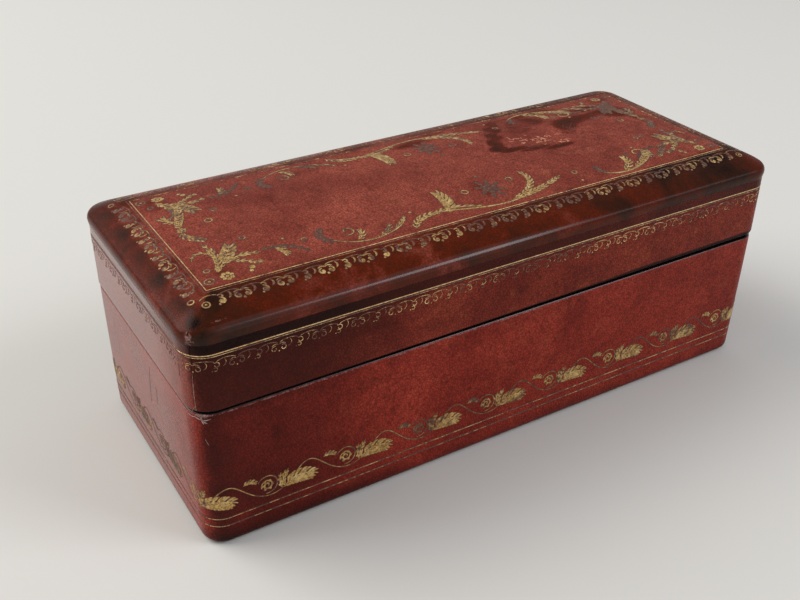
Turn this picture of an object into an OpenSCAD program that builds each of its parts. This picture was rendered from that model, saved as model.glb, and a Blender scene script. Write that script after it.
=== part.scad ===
// Leather-covered jewellery case with a hinged, cushion-topped lid.
// Wooden carcass, leather skins, velvet and satin linings, two brass stop hinges.
// Millimetres. Origin: centre of the underside. +X right, +Y back (hinge side), +Z up.

/* [Case] */
// Outside length of the base
case_length = 200; // [170:5:240]
// Outside width of the base, front to back
case_width = 83; // [75:1:100]
// Height of the base, from the table to its rim
base_height = 45.2; // [42:0.2:60]
// Radius of the upright corners
corner_radius = 7; // [5:0.5:9]
// Radius of the base's bottom edge
foot_radius = 2.5; // [1.5:0.5:3]

/* [Lid] */
// Height of the lid's side, from its rim to the ridge
lid_side = 23.7; // [20:0.1:30]
// Width of the sloping border of the lid's top
bevel_width = 12; // [8:1:16]
// Slope of that border at the ridge, rise over run
ridge_slope = 0.58; // [0.4:0.02:0.7]
// Slope of the top where the border ends
field_slope = 0.09; // [0.04:0.01:0.14]
// How far the lid stands out past the base at the front and the ends
lid_overhang = 0.3; // [0:0.1:0.8]
// Gap between the two rims at the left end
rim_gap = 0.25; // [0.2:0.05:0.6]
// Tilt of the warped lid, which lifts its right end, in degrees
lid_tilt = 0.2; // [0:0.05:0.3]

/* [Construction] */
// Thickness of the wall boards
board = 5; // [4:0.5:6]
// Thickness of the floor board
floor_board = 3; // [2:0.5:4]
// Thickness of the leather
leather = 1; // [0.8:0.1:1.4]
// Width of the leather turned under the base
turn_under = 6; // [5:0.5:6]
// Thickness of a lining panel, card and velvet together
lining = 1.5; // [1:0.1:2]

/* [Inside] */
// Thickness of the floor pad
floor_pad = 5; // [3:0.5:7]
// Thickness of the pad under the lid's top
ceiling_pad = 3.5; // [2:0.5:5]
// Number of ring rolls
ring_rolls = 5; // [3:1:6]
// Diameter of one ring roll
roll_diameter = 11.8; // [10:0.1:12]
// Height of the bed that carries the rolls
ring_bed_height = 16; // [10:1:18]
// Thickness of the divider between the rings and the open tray
divider_board = 2.4; // [2:0.1:3]
// Height of the divider
divider_height = 31; // [30:1:33]

/* [Hinges] */
// Distance of each hinge's centre from the middle of the back
hinge_offset = 58; // [45:1:70]
// Width of a hinge, along its pin
hinge_width = 22; // [18:1:26]
// Height of each leaf
leaf_height = 11; // [9:0.5:12]
// Thickness of each leaf
leaf = 0.9; // [0.7:0.1:1]
// Outside diameter of the knuckles
knuckle_diameter = 3; // [2.8:0.1:3.4]
// Diameter of the hinge pin
pin_diameter = 1.6; // [1.4:0.1:1.8]
// Opening angle at which the heels of the two leaves meet, in degrees
stop_angle = 105.5; // [95:0.5:110]

/* [Hidden] */
eps = 0.01;
rim_edge = 0.7;
roll_gap = 0.3;
fit_gap = 0.2;
knuckles = 5;
$fn = 48;

// The lid's own box, in its own coordinates: rim at z = 0
lid_length = case_length + 2 * lid_overhang;
lid_width = case_width + lid_overhang;
lid_radius = corner_radius + lid_overhang;
skirt = 1.2;
skirt_out = 0.3;
board_top = lid_side - 2.5;

// Inside of the walls and of the linings
wall = leather + board;
inner_length = case_length - 2 * wall;
inner_width = case_width - 2 * wall;
room_length = inner_length - 2 * lining;
room_width = inner_width - 2 * lining;
floor_z = leather + floor_board;
lining_drop = 0.8;

// Ring section at the right end
roll_pitch = roll_diameter + roll_gap;
rings_length = ring_rolls * roll_pitch + roll_gap;
rings_x = room_length / 2 - rings_length;
divider_x = rings_x - divider_board;

// Hinge geometry, measured from the pin's axis
knuckle_r = knuckle_diameter / 2;
pin_r = pin_diameter / 2;
pin_clearance = 0.04;
knuckle_gap = 0.12;
back_gap = 0.1;
heel_reach = 3.4;
heel_drop = 5.2;
hinge_y = case_width / 2 + knuckle_r + back_gap;
hinge_z = base_height + 0.4;
plate_back = -knuckle_r - back_gap;
plate_front = plate_back + leaf;
screw_r = 0.6;
screw_head_r = 1.3;
screw_head = 0.8;
screw_length = 5;
screw_hole_r = screw_r + 0.02;
screw_z = 7.8;
screw_spread = 6.5;
hinge_sides = [-1, 1];

SIDES = ["front", "back", "left", "right"];

// ---------- shared shapes ----------

// Rectangle with rounded corners, or with square ones where the radius is 0 or less
module rounded_rect(l, w, r) {
    k = max(r, 0);
    square([l - 2 * k, w], center = true);
    square([l, w - 2 * k], center = true);
    if (k > 0)
        for (x = [-1, 1], y = [-1, 1])
            translate([x * (l / 2 - k), y * (w / 2 - k)])
                circle(r = k);
}

// Upright block over a rounded rectangle
module block(l, w, r, z0, z1) {
    translate([0, 0, z0]) linear_extrude(z1 - z0) rounded_rect(l, w, r);
}

// Sweeps a profile round a rounded rectangle. The profile's x is 0 at the corners' centres
// and r at the outline, and its y is the height.
module sweep_round(l, w, r) {
    for (q = [0:3]) {
        side = q % 2 == 0 ? w : l;
        other = q % 2 == 0 ? l : w;
        rotate([0, 0, 90 * q])
            translate([other / 2 - r, side / 2 - r, 0]) {
                rotate_extrude(angle = 90) children();
                rotate([90, 0, 0]) linear_extrude(side - 2 * r) children();
            }
    }
}

// Quarter-rounded strip: a rectangle from [x0, y0] to [x1, y1] whose outer lower corner
// has radius low and outer upper corner radius high
module rounded_strip(x0, y0, x1, y1, low, high) {
    translate([x0, y0 + low]) square([x1 - x0, y1 - y0 - low - high]);
    translate([x0, y0]) square([x1 - x0 - low, low + eps]);
    translate([x0, y1 - high - eps]) square([x1 - x0 - high, high + eps]);
    translate([x1 - low, y0 + low]) circle(r = low);
    translate([x1 - high, y1 - high]) circle(r = high);
}

// Block that stays d inside the base's outline
module base_block(d, z0, z1) {
    block(case_length - 2 * d, case_width - 2 * d, corner_radius - d, z0, z1);
}

// The same, inside the lid's outline, in the lid's coordinates
module lid_block(d, z0, z1) {
    block(lid_length - 2 * d, lid_width - 2 * d, lid_radius - d, z0, z1);
}

// Base with a rounded bottom edge, d inside its outer surface, up to height z1
module base_form(d, z1) {
    r = foot_radius - d;
    hull() {
        for (a = [0:15:90]) {
            z = d + r * (1 - cos(a));
            base_block(d + r * (1 - sin(a)), z, z + eps);
        }
        base_block(d, z1 - eps, z1);
    }
}

// Height of the lid's top above the ridge at a distance d in from its edge
function top_rise(d) = let (
        b = min(d, bevel_width),
        f = max(d - bevel_width, 0),
        field = lid_width / 2 - bevel_width
    )
    ridge_slope * b - (ridge_slope - field_slope) * b * b / (2 * bevel_width)
    + field_slope * f * (1 - f / (2 * field));

// Solid under the lid's cushion top, d below its outer surface, from height z0
module top_form(d, z0) {
    hull() {
        lid_block(d - (d > 0 ? 0 : skirt_out), z0, z0 + eps);
        lid_block(d - (d > 0 ? 0 : skirt_out), lid_side - d - 0.5, lid_side - d - 0.5 + eps);
        for (inset = [0.2, 1.2, 3, 5, 7.5, 10, bevel_width, 16, 22, 30, lid_width / 2 - 1]) {
            z = lid_side - d + top_rise(inset);
            lid_block(d + inset, z - eps, z);
        }
    }
}

// Places the lid on the base, tilted as it sits
module on_lid() {
    translate([-case_length / 2, -lid_overhang / 2, base_height + rim_gap])
        rotate([0, -lid_tilt, 0])
            translate([case_length / 2, 0, 0])
                children();
}

// Everything on one side of a rectangular frame whose walls are t thick.
// Front and back run the whole length, and the ends fit between them.
module frame_side(side, l, w, t, z0, z1) {
    h = z1 - z0;
    if (side == "front") translate([-l / 2, -w / 2, z0]) cube([l, t, h]);
    if (side == "back") translate([-l / 2, w / 2 - t, z0]) cube([l, t, h]);
    if (side == "left") translate([-l / 2, -w / 2 + t, z0]) cube([t, w - 2 * t, h]);
    if (side == "right") translate([l / 2 - t, -w / 2 + t, z0]) cube([t, w - 2 * t, h]);
}

// ---------- hinge screw places ----------

// One child at each screw of the leaves on one body: drop is -1 for the base and 1 for the lid
module at_screws(drop) {
    for (h = hinge_sides, s = hinge_sides)
        translate([h * hinge_offset + s * screw_spread, hinge_y + plate_front, hinge_z + drop * screw_z])
            rotate([90, 0, 0])
                children();
}

module screw_holes(drop) {
    at_screws(drop) cylinder(h = screw_length + 2 * fit_gap, r = screw_hole_r);
}

// ---------- base ----------

module base_floor_board() {
    color("burlywood") base_form(leather, floor_z);
}

module base_wall_board(side) {
    top = base_height - leather;
    color("burlywood")
        difference() {
            intersection() {
                base_block(leather, floor_z, top);
                frame_side(side, case_length - 2 * leather, case_width - 2 * leather, board, floor_z, top);
            }
            if (side == "back") screw_holes(-1);
        }
}

module base_leather_band() {
    r = corner_radius;
    inner = r - wall;
    color("darkred")
        sweep_round(case_length, case_width, r)
            difference() {
                rounded_strip(inner, 0, r, base_height, foot_radius, rim_edge);
                rounded_strip(
                    inner - 1, leather, r - leather, base_height - leather,
                    foot_radius - leather, eps
                );
            }
}

module base_underside_cover() {
    color("saddlebrown") base_block(turn_under + fit_gap, 0, leather);
}

module base_lining(side) {
    color("firebrick")
        frame_side(side, inner_length, inner_width, lining, floor_z, base_height - lining_drop);
}

module base_floor_pad() {
    color("firebrick")
        translate([-room_length / 2 + fit_gap, -room_width / 2 + fit_gap, floor_z])
            cube([divider_x + room_length / 2 - 2 * fit_gap, room_width - 2 * fit_gap, floor_pad]);
}

module divider() {
    color("firebrick")
        translate([divider_x, -room_width / 2, floor_z])
            cube([divider_board, room_width, divider_height]);
}

module ring_bed() {
    color("firebrick")
        translate([rings_x, -room_width / 2 + fit_gap, floor_z])
            cube([rings_length, room_width - 2 * fit_gap, ring_bed_height]);
}

module ring_roll(i) {
    color("firebrick")
        translate([
            rings_x + roll_gap + roll_diameter / 2 + (i - 1) * roll_pitch,
            room_width / 2 - fit_gap,
            floor_z + ring_bed_height + roll_diameter / 2
        ])
            rotate([90, 0, 0])
                cylinder(h = room_width - 2 * fit_gap, d = roll_diameter);
}

// ---------- lid ----------

module lid_top_board() {
    color("burlywood") on_lid() top_form(leather, board_top);
}

module lid_wall_board(side) {
    color("burlywood")
        difference() {
            on_lid()
                intersection() {
                    lid_block(leather, leather, board_top);
                    frame_side(side, lid_length - 2 * leather, lid_width - 2 * leather,
                        board, leather, board_top);
                }
            if (side == "back") screw_holes(1);
        }
}

module lid_leather_band() {
    r = lid_radius;
    inner = r - wall;
    color("darkred")
        on_lid()
            sweep_round(lid_length, lid_width, r)
                difference() {
                    rounded_strip(inner, 0, r, lid_side - skirt, rim_edge, eps);
                    translate([inner - 1, leather]) square([wall - leather + 1, lid_side]);
                }
}

module lid_top_leather() {
    color("darkred")
        on_lid()
            difference() {
                top_form(0, lid_side - skirt);
                top_form(leather, board_top);
            }
}

module lid_lining(side) {
    color("wheat")
        on_lid()
            frame_side(side, lid_length - 2 * wall, lid_width - 2 * wall, lining, lining_drop, board_top);
}

module lid_ceiling_pad() {
    room = wall + lining + fit_gap;
    color("wheat")
        on_lid()
            block(lid_length - 2 * room, lid_width - 2 * room, 0, board_top - ceiling_pad, board_top);
}

// ---------- hinges ----------

// One child along each knuckle whose place in the row is odd or even
module at_knuckles(odd) {
    pitch = hinge_width / knuckles;
    for (k = [0:knuckles - 1])
        if (k % 2 == (odd ? 1 : 0))
            translate([-hinge_width / 2 + k * pitch, 0, 0])
                rotate([0, 90, 0])
                    children();
}

// Side view of a leaf below the pin: plate, then the heel that meets the other leaf's heel
module leaf_outline() {
    reach = [cos(stop_angle / 2), -sin(stop_angle / 2)];
    difference() {
        polygon([
            [plate_back, -leaf_height], [plate_front, -leaf_height], [plate_front, -heel_drop],
            [heel_reach * reach[0], heel_reach * reach[1] - 1], heel_reach * reach,
            [0, 0], [plate_back, -knuckle_gap]
        ]);
        circle(r = knuckle_r + knuckle_gap);
    }
}

// A leaf with its pin on the X axis. The base's leaf has the odd places clear, the lid's the even.
module hinge_leaf(on_base) {
    pitch = hinge_width / knuckles;
    trim = on_base ? 0 : knuckle_gap;
    difference() {
        union() {
            intersection() {
                rotate([90, 0, 90])
                    linear_extrude(hinge_width, center = true)
                        leaf_outline();
                translate([-hinge_width / 2, -heel_reach, -leaf_height])
                    cube([hinge_width, 2 * heel_reach, leaf_height]);
            }
            at_knuckles(!on_base)
                translate([0, 0, trim])
                    cylinder(h = pitch - 2 * trim, r = knuckle_r);
            at_knuckles(!on_base)
                translate([knuckle_gap, plate_back, trim])
                    cube([knuckle_diameter, leaf, pitch - 2 * trim]);
        }
        rotate([0, 90, 0])
            cylinder(h = hinge_width + 2, r = pin_r + pin_clearance, center = true);
        for (s = hinge_sides)
            translate([s * screw_spread, plate_front, -screw_z])
                rotate([90, 0, 0]) {
                    translate([0, 0, -eps]) cylinder(h = leaf + 1, r = screw_hole_r);
                    translate([0, 0, -eps])
                        cylinder(h = screw_head + eps, r1 = screw_head_r + eps, r2 = screw_hole_r);
                }
    }
}

module hinge_base_leaf(side) {
    color("goldenrod")
        translate([side * hinge_offset, hinge_y, hinge_z])
            hinge_leaf(true);
}

module hinge_lid_leaf(side) {
    color("goldenrod")
        translate([side * hinge_offset, hinge_y, hinge_z])
            mirror([0, 0, 1])
                hinge_leaf(false);
}

module hinge_pin(side) {
    head = 0.4;
    color("goldenrod")
        translate([side * hinge_offset, hinge_y, hinge_z])
            rotate([0, 90, 0]) {
                cylinder(h = hinge_width + 2 * head, r = pin_r, center = true);
                for (s = hinge_sides)
                    translate([0, 0, s * (hinge_width + head) / 2 + s * eps])
                        cylinder(h = head, r = pin_r + 0.4, center = true);
            }
}

module hinge_screws(drop) {
    slot = 0.3;
    color("goldenrod")
        at_screws(drop)
            difference() {
                union() {
                    cylinder(h = screw_length, r = screw_r);
                    cylinder(h = screw_head, r1 = screw_head_r - 0.02, r2 = screw_r);
                }
                translate([0, 0, slot / 2 - eps])
                    cube([2 * screw_head_r, slot, slot], center = true);
            }
}

// ---------- output ----------

base_floor_board();
for (s = SIDES) {
    base_wall_board(s);
    base_lining(s);
    lid_wall_board(s);
    lid_lining(s);
}
base_leather_band();
base_underside_cover();
base_floor_pad();
divider();
ring_bed();
for (i = [1:ring_rolls])
    ring_roll(i);
lid_top_board();
lid_leather_band();
lid_top_leather();
lid_ceiling_pad();
hinge_base_leaf(-1);  // hinge_base_leaf_left
hinge_base_leaf(1);  // hinge_base_leaf_right
hinge_lid_leaf(-1);  // hinge_lid_leaf_left
hinge_lid_leaf(1);  // hinge_lid_leaf_right
hinge_pin(-1);  // hinge_pin_left
hinge_pin(1);  // hinge_pin_right
hinge_screws(-1);  // hinge_base_screws
hinge_screws(1);  // hinge_lid_screws
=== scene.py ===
"""Looks of an oblong leather jewellery case: tooled and gilt leather, linings, brass hinges, studio."""
import math

import bpy
import numpy as np
from mathutils import Matrix, Vector


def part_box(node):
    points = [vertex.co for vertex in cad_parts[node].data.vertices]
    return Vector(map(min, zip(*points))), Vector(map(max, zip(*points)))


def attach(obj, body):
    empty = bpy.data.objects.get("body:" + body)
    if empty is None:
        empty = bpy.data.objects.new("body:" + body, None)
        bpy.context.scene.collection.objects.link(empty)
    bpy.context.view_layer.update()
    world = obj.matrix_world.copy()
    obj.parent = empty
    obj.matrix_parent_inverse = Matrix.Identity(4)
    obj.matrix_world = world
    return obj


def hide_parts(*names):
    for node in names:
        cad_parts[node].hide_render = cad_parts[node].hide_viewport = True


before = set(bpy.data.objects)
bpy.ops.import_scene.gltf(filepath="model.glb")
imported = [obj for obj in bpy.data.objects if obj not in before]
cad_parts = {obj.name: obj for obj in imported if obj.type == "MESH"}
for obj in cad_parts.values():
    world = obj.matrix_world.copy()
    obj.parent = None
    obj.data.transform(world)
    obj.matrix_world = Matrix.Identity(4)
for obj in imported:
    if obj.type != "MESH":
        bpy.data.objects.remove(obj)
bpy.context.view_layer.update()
scene = bpy.context.scene
scene.view_settings.view_transform = "Standard"

MM = 0.001
rng = np.random.default_rng(7)

# ---- sizes, in millimetres
BASE_LOW, BASE_HIGH = (np.array(corner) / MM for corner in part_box("base_leather_band"))
LENGTH, WIDTH, BASE_H = BASE_HIGH - BASE_LOW
RADIUS = 7.0
OVERHANG = 0.3
LID_L, LID_W, LID_R = LENGTH + 2 * OVERHANG, WIDTH + OVERHANG, RADIUS + OVERHANG
LID_SIDE = 23.7
RIM_GAP = 0.25
TILT = math.radians(0.2)
LEATHER = 1.0
WALL = 6.0
TURN_UNDER = 6.0
FOOT_R = 2.5
BEVEL = 12.0
RIDGE_SLOPE, FIELD_SLOPE = 0.58, 0.09
END_RATIO = 0.86          # the border slopes a little steeper at the ends than at the front
SKIRT, SKIRT_OUT = 1.2, 0.3
TAPER = 0.5               # the base's walls lean in this much at the foot
CORNER_RATE, CORNER_MIN = 0.45, 2.5     # the corners' radius shrinks with the inset at this rate, down to this
TURN_IN = 1.2             # how deep the base's leather is turned in over the rim


def on_lid(p):
    """Moves points from the lid's own coordinates to where the tilted lid sits on the base."""
    q = np.array(p, dtype=float)
    x, z = q[..., 0] + LENGTH / 2, q[..., 2].copy()
    q[..., 0] = x * math.cos(TILT) - z * math.sin(TILT) - LENGTH / 2
    q[..., 1] -= OVERHANG / 2
    q[..., 2] = x * math.sin(TILT) + z * math.cos(TILT) + BASE_H + RIM_GAP
    return q


# ---- mesh helpers
def placed(name, data):
    """A new object in the scene, of a mesh, a camera or a light."""
    item = bpy.data.objects.new(name, data)
    scene.collection.objects.link(item)
    return item


def new_mesh(name, points, faces):
    """A mesh from points in millimetres."""
    mesh = bpy.data.meshes.new(name)
    mesh.from_pydata((np.asarray(points) * MM).tolist(), [], faces)
    return mesh


def make_piece(name, points, faces, material, body, attributes=None, smooth=True):
    """A mesh object from points in millimetres, riding on a body."""
    mesh = new_mesh(name, points, faces)
    mesh.validate()
    if smooth:
        mesh.shade_smooth()
    for key, values in (attributes or {}).items():
        layer = mesh.attributes.new(key, "FLOAT", "POINT")
        layer.data.foreach_set("value", np.asarray(values, dtype=np.float32))
    mesh.materials.append(material)
    piece = placed(name, mesh)
    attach(piece, body)
    return piece


CORNER_STEPS = 14
SIDE_STEP = 2.0
LONG_STEPS, SHORT_STEPS = int(LENGTH / SIDE_STEP), int(WIDTH / SIDE_STEP)


def ring(l, w, r):
    """Points and outward directions round a rounded rectangle, anticlockwise from the front left.
    Every size has the same number of points."""
    r = max(r, 0.01)
    points, out = [], []
    corners = ((1, -1, -90, LONG_STEPS), (1, 1, 0, SHORT_STEPS), (-1, 1, 90, LONG_STEPS),
               (-1, -1, 180, SHORT_STEPS))
    start = np.array([-(l / 2 - r), -w / 2])
    for sx, sy, angle, steps in corners:
        centre = np.array([sx * (l / 2 - r), sy * (w / 2 - r)])
        turn = np.radians(angle + np.linspace(0, 90, CORNER_STEPS + 1))
        arc_out = np.stack([np.cos(turn), np.sin(turn)], 1)
        arc = centre + r * arc_out
        t = np.linspace(0, 1, steps, endpoint=False)[:, None]
        points += [start + (arc[0] - start) * t, arc[:-1]]
        out += [np.repeat(arc_out[:1], steps, 0), arc_out[:-1]]
        start = arc[-1]
    return np.concatenate(points), np.concatenate(out)


RING_N = 2 * (LONG_STEPS + SHORT_STEPS + 2 * CORNER_STEPS)


def grid_faces(rows, columns, close_rows):
    """Quads of a grid whose columns close on themselves, and whose rows do too if asked."""
    faces = []
    for i in range(rows if close_rows else rows - 1):
        a, b = i * columns, (i + 1) % rows * columns
        faces += [(a + j, a + (j + 1) % columns, b + (j + 1) % columns, b + j) for j in range(columns)]
    return faces


def capped(rows, columns, downward=False):
    """Faces of a closed form made of rings that go up, or down, with a cap on the first and the last."""
    last = (rows - 1) * columns
    faces = grid_faces(rows, columns, False)
    faces += [tuple(range(columns))[::-1], tuple(range(last, last + columns))]
    return [face[::-1] for face in faces] if downward else faces


def at_height(p, z):
    """Points, or distances, with a height as their last coordinate."""
    return np.column_stack([p, np.full(len(p), z)])


def swept(profile, l, w, r):
    """Points of a profile of (out, height) pairs swept round a rounded rectangle."""
    return np.array([at_height(ring(l + 2 * out, w + 2 * out, r + out)[0], z) for out, z in profile])


def arc_pairs(cx, cz, r, a0, a1, n):
    """Profile points of an arc from one angle to another, in degrees."""
    turn = np.radians(np.linspace(a0, a1, n))
    return [(cx + r * math.cos(a), cz + r * math.sin(a)) for a in turn]


def groove(z, depth, width, n=7):
    """Profile points of a shallow groove across a wall, from below to above."""
    t = np.linspace(-1, 1, n)
    return [(-depth * (1 + math.cos(math.pi * k)) / 2, z + k * width / 2) for k in t]


# ---- surfaces that carry the tooling
def along(s, l, w, r):
    """Point and outward direction at distance s round the outline. s + r is x from the left at the front."""
    lengths = [l - 2 * r, math.pi * r / 2, w - 2 * r, math.pi * r / 2] * 2
    total = sum(lengths)
    s = np.mod(np.asarray(s, dtype=float), total)
    x, y, nx, ny = (np.zeros_like(s) for _ in range(4))
    begin, heading = 0.0, 0.0
    here = np.array([-(l / 2 - r), -w / 2])
    for i, length in enumerate(lengths):
        t = s - begin
        inside = (t >= 0) & (t <= length)
        side = heading - math.pi / 2
        if i % 2 == 0:
            x[inside] = here[0] + t[inside] * math.cos(heading)
            y[inside] = here[1] + t[inside] * math.sin(heading)
            nx[inside], ny[inside] = math.cos(side), math.sin(side)
            here = here + length * np.array([math.cos(heading), math.sin(heading)])
        else:
            centre = here - r * np.array([math.cos(side), math.sin(side)])
            turn = side + t[inside] / r
            x[inside], y[inside] = centre[0] + r * np.cos(turn), centre[1] + r * np.sin(turn)
            nx[inside], ny[inside] = np.cos(turn), np.sin(turn)
            heading += math.pi / 2
            side = heading - math.pi / 2
            here = centre + r * np.array([math.cos(side), math.sin(side)])
        begin += length
    return x, y, nx, ny


def lean(z):
    """How far the base's wall stands in from the outline at a height."""
    return -TAPER * (1 - np.clip(z / BASE_H, 0, 1)) ** 1.5


def base_wall(uv):
    """uv is the distance round the base and the height above its underside."""
    x, y, nx, ny = along(uv[:, 0] - RADIUS, LENGTH, WIDTH, RADIUS)
    out = lean(uv[:, 1])
    return (np.column_stack([x + nx * out, y + ny * out, uv[:, 1]]),
            np.column_stack([nx, ny, np.zeros_like(nx)]))


def lid_wall(uv):
    """uv is the distance round the lid and the height above the lid's rim."""
    x, y, nx, ny = along(uv[:, 0] - LID_R, LID_L, LID_W, LID_R)
    return (on_lid(np.column_stack([x, y, uv[:, 1]])), np.column_stack([nx, ny, np.zeros_like(nx)]))


NOSE_R = 2.3                                      # the ridge is rolled to this radius
NOSE_END = math.pi / 2 - math.atan(RIDGE_SLOPE)   # angle at which the roll meets the border's slope


def slope_rise(d):
    """Height of the lid's top above the ridge at an inset d, before the ridge is rolled."""
    b, f = np.minimum(d, BEVEL), np.maximum(d - BEVEL, 0)
    field = LID_W / 2 - BEVEL
    swell = RIDGE_SLOPE * b - (RIDGE_SLOPE - FIELD_SLOPE) * b * b / (2 * BEVEL)
    return swell + FIELD_SLOPE * f * (1 - f / (2 * field))


NOSE_D = NOSE_R * (1 - math.cos(NOSE_END)) - SKIRT_OUT
NOSE_Z = float(slope_rise(np.array(NOSE_D))) - NOSE_R * math.sin(NOSE_END)


def rise(d):
    """Height of the lid's top above the ridge at an inset d."""
    d = np.asarray(d, dtype=float)
    across = np.clip(NOSE_R - SKIRT_OUT - d, 0, NOSE_R)
    rolled = NOSE_Z + np.sqrt(NOSE_R ** 2 - across ** 2)
    return np.where(d < NOSE_D, rolled, slope_rise(d))


def inset_ring(d):
    """Size of the ring at an inset d: length, width and corner radius."""
    w = LID_W - 2 * d
    return LID_L - 2 * d * END_RATIO, w, min(max(LID_R - CORNER_RATE * d, CORNER_MIN), w / 2 - 0.1)


def inset_at(x, y):
    """Inset whose ring passes through a point, by bisection."""
    low, high = np.full_like(x, -1.0), np.full_like(x, LID_W / 2 - 0.1)
    for _ in range(26):
        d = (low + high) / 2
        r = np.maximum(LID_R - CORNER_RATE * d, CORNER_MIN)
        r = np.minimum(r, LID_W / 2 - d)
        qx = np.abs(x) - (LID_L / 2 - d * END_RATIO - r)
        qy = np.abs(y) - (LID_W / 2 - d - r)
        outside = np.hypot(np.maximum(qx, 0), np.maximum(qy, 0)) + np.minimum(np.maximum(qx, qy), 0) - r
        low, high = np.where(outside < 0, d, low), np.where(outside < 0, high, d)
    return (low + high) / 2


def top_height(x, y):
    return LID_SIDE + rise(np.maximum(inset_at(x, y), 0))


def lid_top(uv):
    """uv is x from the left end and y from the front, over the lid."""
    x, y = uv[:, 0] - LENGTH / 2, uv[:, 1] - WIDTH / 2
    z, e = top_height(x, y), 0.2              # the slope is measured over e either side
    slope_x = (top_height(x + e, y) - top_height(x - e, y)) / (2 * e)
    slope_y = (top_height(x, y + e) - top_height(x, y - e)) / (2 * e)
    n = np.column_stack([-slope_x, -slope_y, np.ones_like(z)])
    return on_lid(np.column_stack([x, y, z])), n / np.linalg.norm(n, axis=1)[:, None]


# ---- node helpers
class Graph:
    """A material's nodes. add() makes one, and takes numbers, colours or other sockets as inputs."""

    def __init__(self, name):
        self.material = bpy.data.materials.new(name)
        self.material.use_nodes = True
        self.tree = self.material.node_tree
        self.tree.nodes.clear()
        self.co = self.add("ShaderNodeTexCoord", out="Object")

    def add(self, kind, inputs=None, out=0, **properties):
        node = self.tree.nodes.new(kind)
        for key, value in properties.items():
            setattr(node, key, value)
        for key, value in (inputs or {}).items():
            if isinstance(value, bpy.types.NodeSocket):
                self.tree.links.new(value, node.inputs[key])
            else:
                node.inputs[key].default_value = value
        return node.outputs[out]

    def noise(self, scale, detail=4.0, rough=0.55, distortion=0.0, vector=None, out="Fac"):
        return self.add("ShaderNodeTexNoise", {"Vector": vector or self.co, "Scale": scale, "Detail": detail,
                                               "Roughness": rough, "Distortion": distortion}, out)

    def cells(self, scale, vector, feature="F1"):
        return self.add("ShaderNodeTexVoronoi", {"Vector": vector, "Scale": scale}, "Distance", feature=feature)

    def math(self, operation, a, b):
        return self.add("ShaderNodeMath", {0: a, 1: b}, operation=operation)

    def times(self, a, b):
        return self.math("MULTIPLY", a, b)

    def total(self, first, *others):
        for other in others:
            first = self.math("ADD", first, other)
        return first

    def mix(self, factor, a, b):
        return self.add("ShaderNodeMix", {0: factor, 6: a, 7: b}, 2, data_type="RGBA")

    def span(self, value, low, high, to_low=0.0, to_high=1.0):
        """A value between low and high, mapped to between two others."""
        return self.add("ShaderNodeMapRange", {"Value": value, "From Min": low, "From Max": high,
                                               "To Min": to_low, "To Max": to_high})

    def between(self, value, low, high, a, b):
        """Colour a where a value is low, colour b where it is high."""
        return self.mix(self.span(value, low, high), rgb(*a), rgb(*b))

    def tint(self, colour, value, low, high, amount, towards):
        """The colour, mixed towards another as a value rises, by amount where it is high."""
        return self.mix(self.span(value, low, high, 0.0, amount), colour, rgb(*towards))

    def stretch(self, scale):
        return self.add("ShaderNodeMapping", {"Vector": self.co, "Scale": scale})

    def value(self, name):
        return self.add("ShaderNodeAttribute", out="Fac", attribute_name=name)

    def bump(self, height, distance, strength):
        return self.add("ShaderNodeBump", {"Height": height, "Distance": distance, "Strength": strength})

    def finish(self, **inputs):
        """Ends the graph in a Principled shader."""
        shader = self.add("ShaderNodeBsdfPrincipled", {key.replace("_", " "): inputs[key] for key in inputs})
        output = self.tree.nodes.new("ShaderNodeOutputMaterial")
        self.tree.links.new(shader, output.inputs["Surface"])
        return self.material


def rgb(r, g, b):
    return (r, g, b, 1.0)


# ---- leather
PEBBLES = 1150.0              # how close the leather's pebbles lie
# The blackest tone: painted shadow in the gap between lid and base, and the darkest stains
BLACKEST_STAIN_AND_GAP_SHADE = (0.004, 0.002, 0.002)


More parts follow.
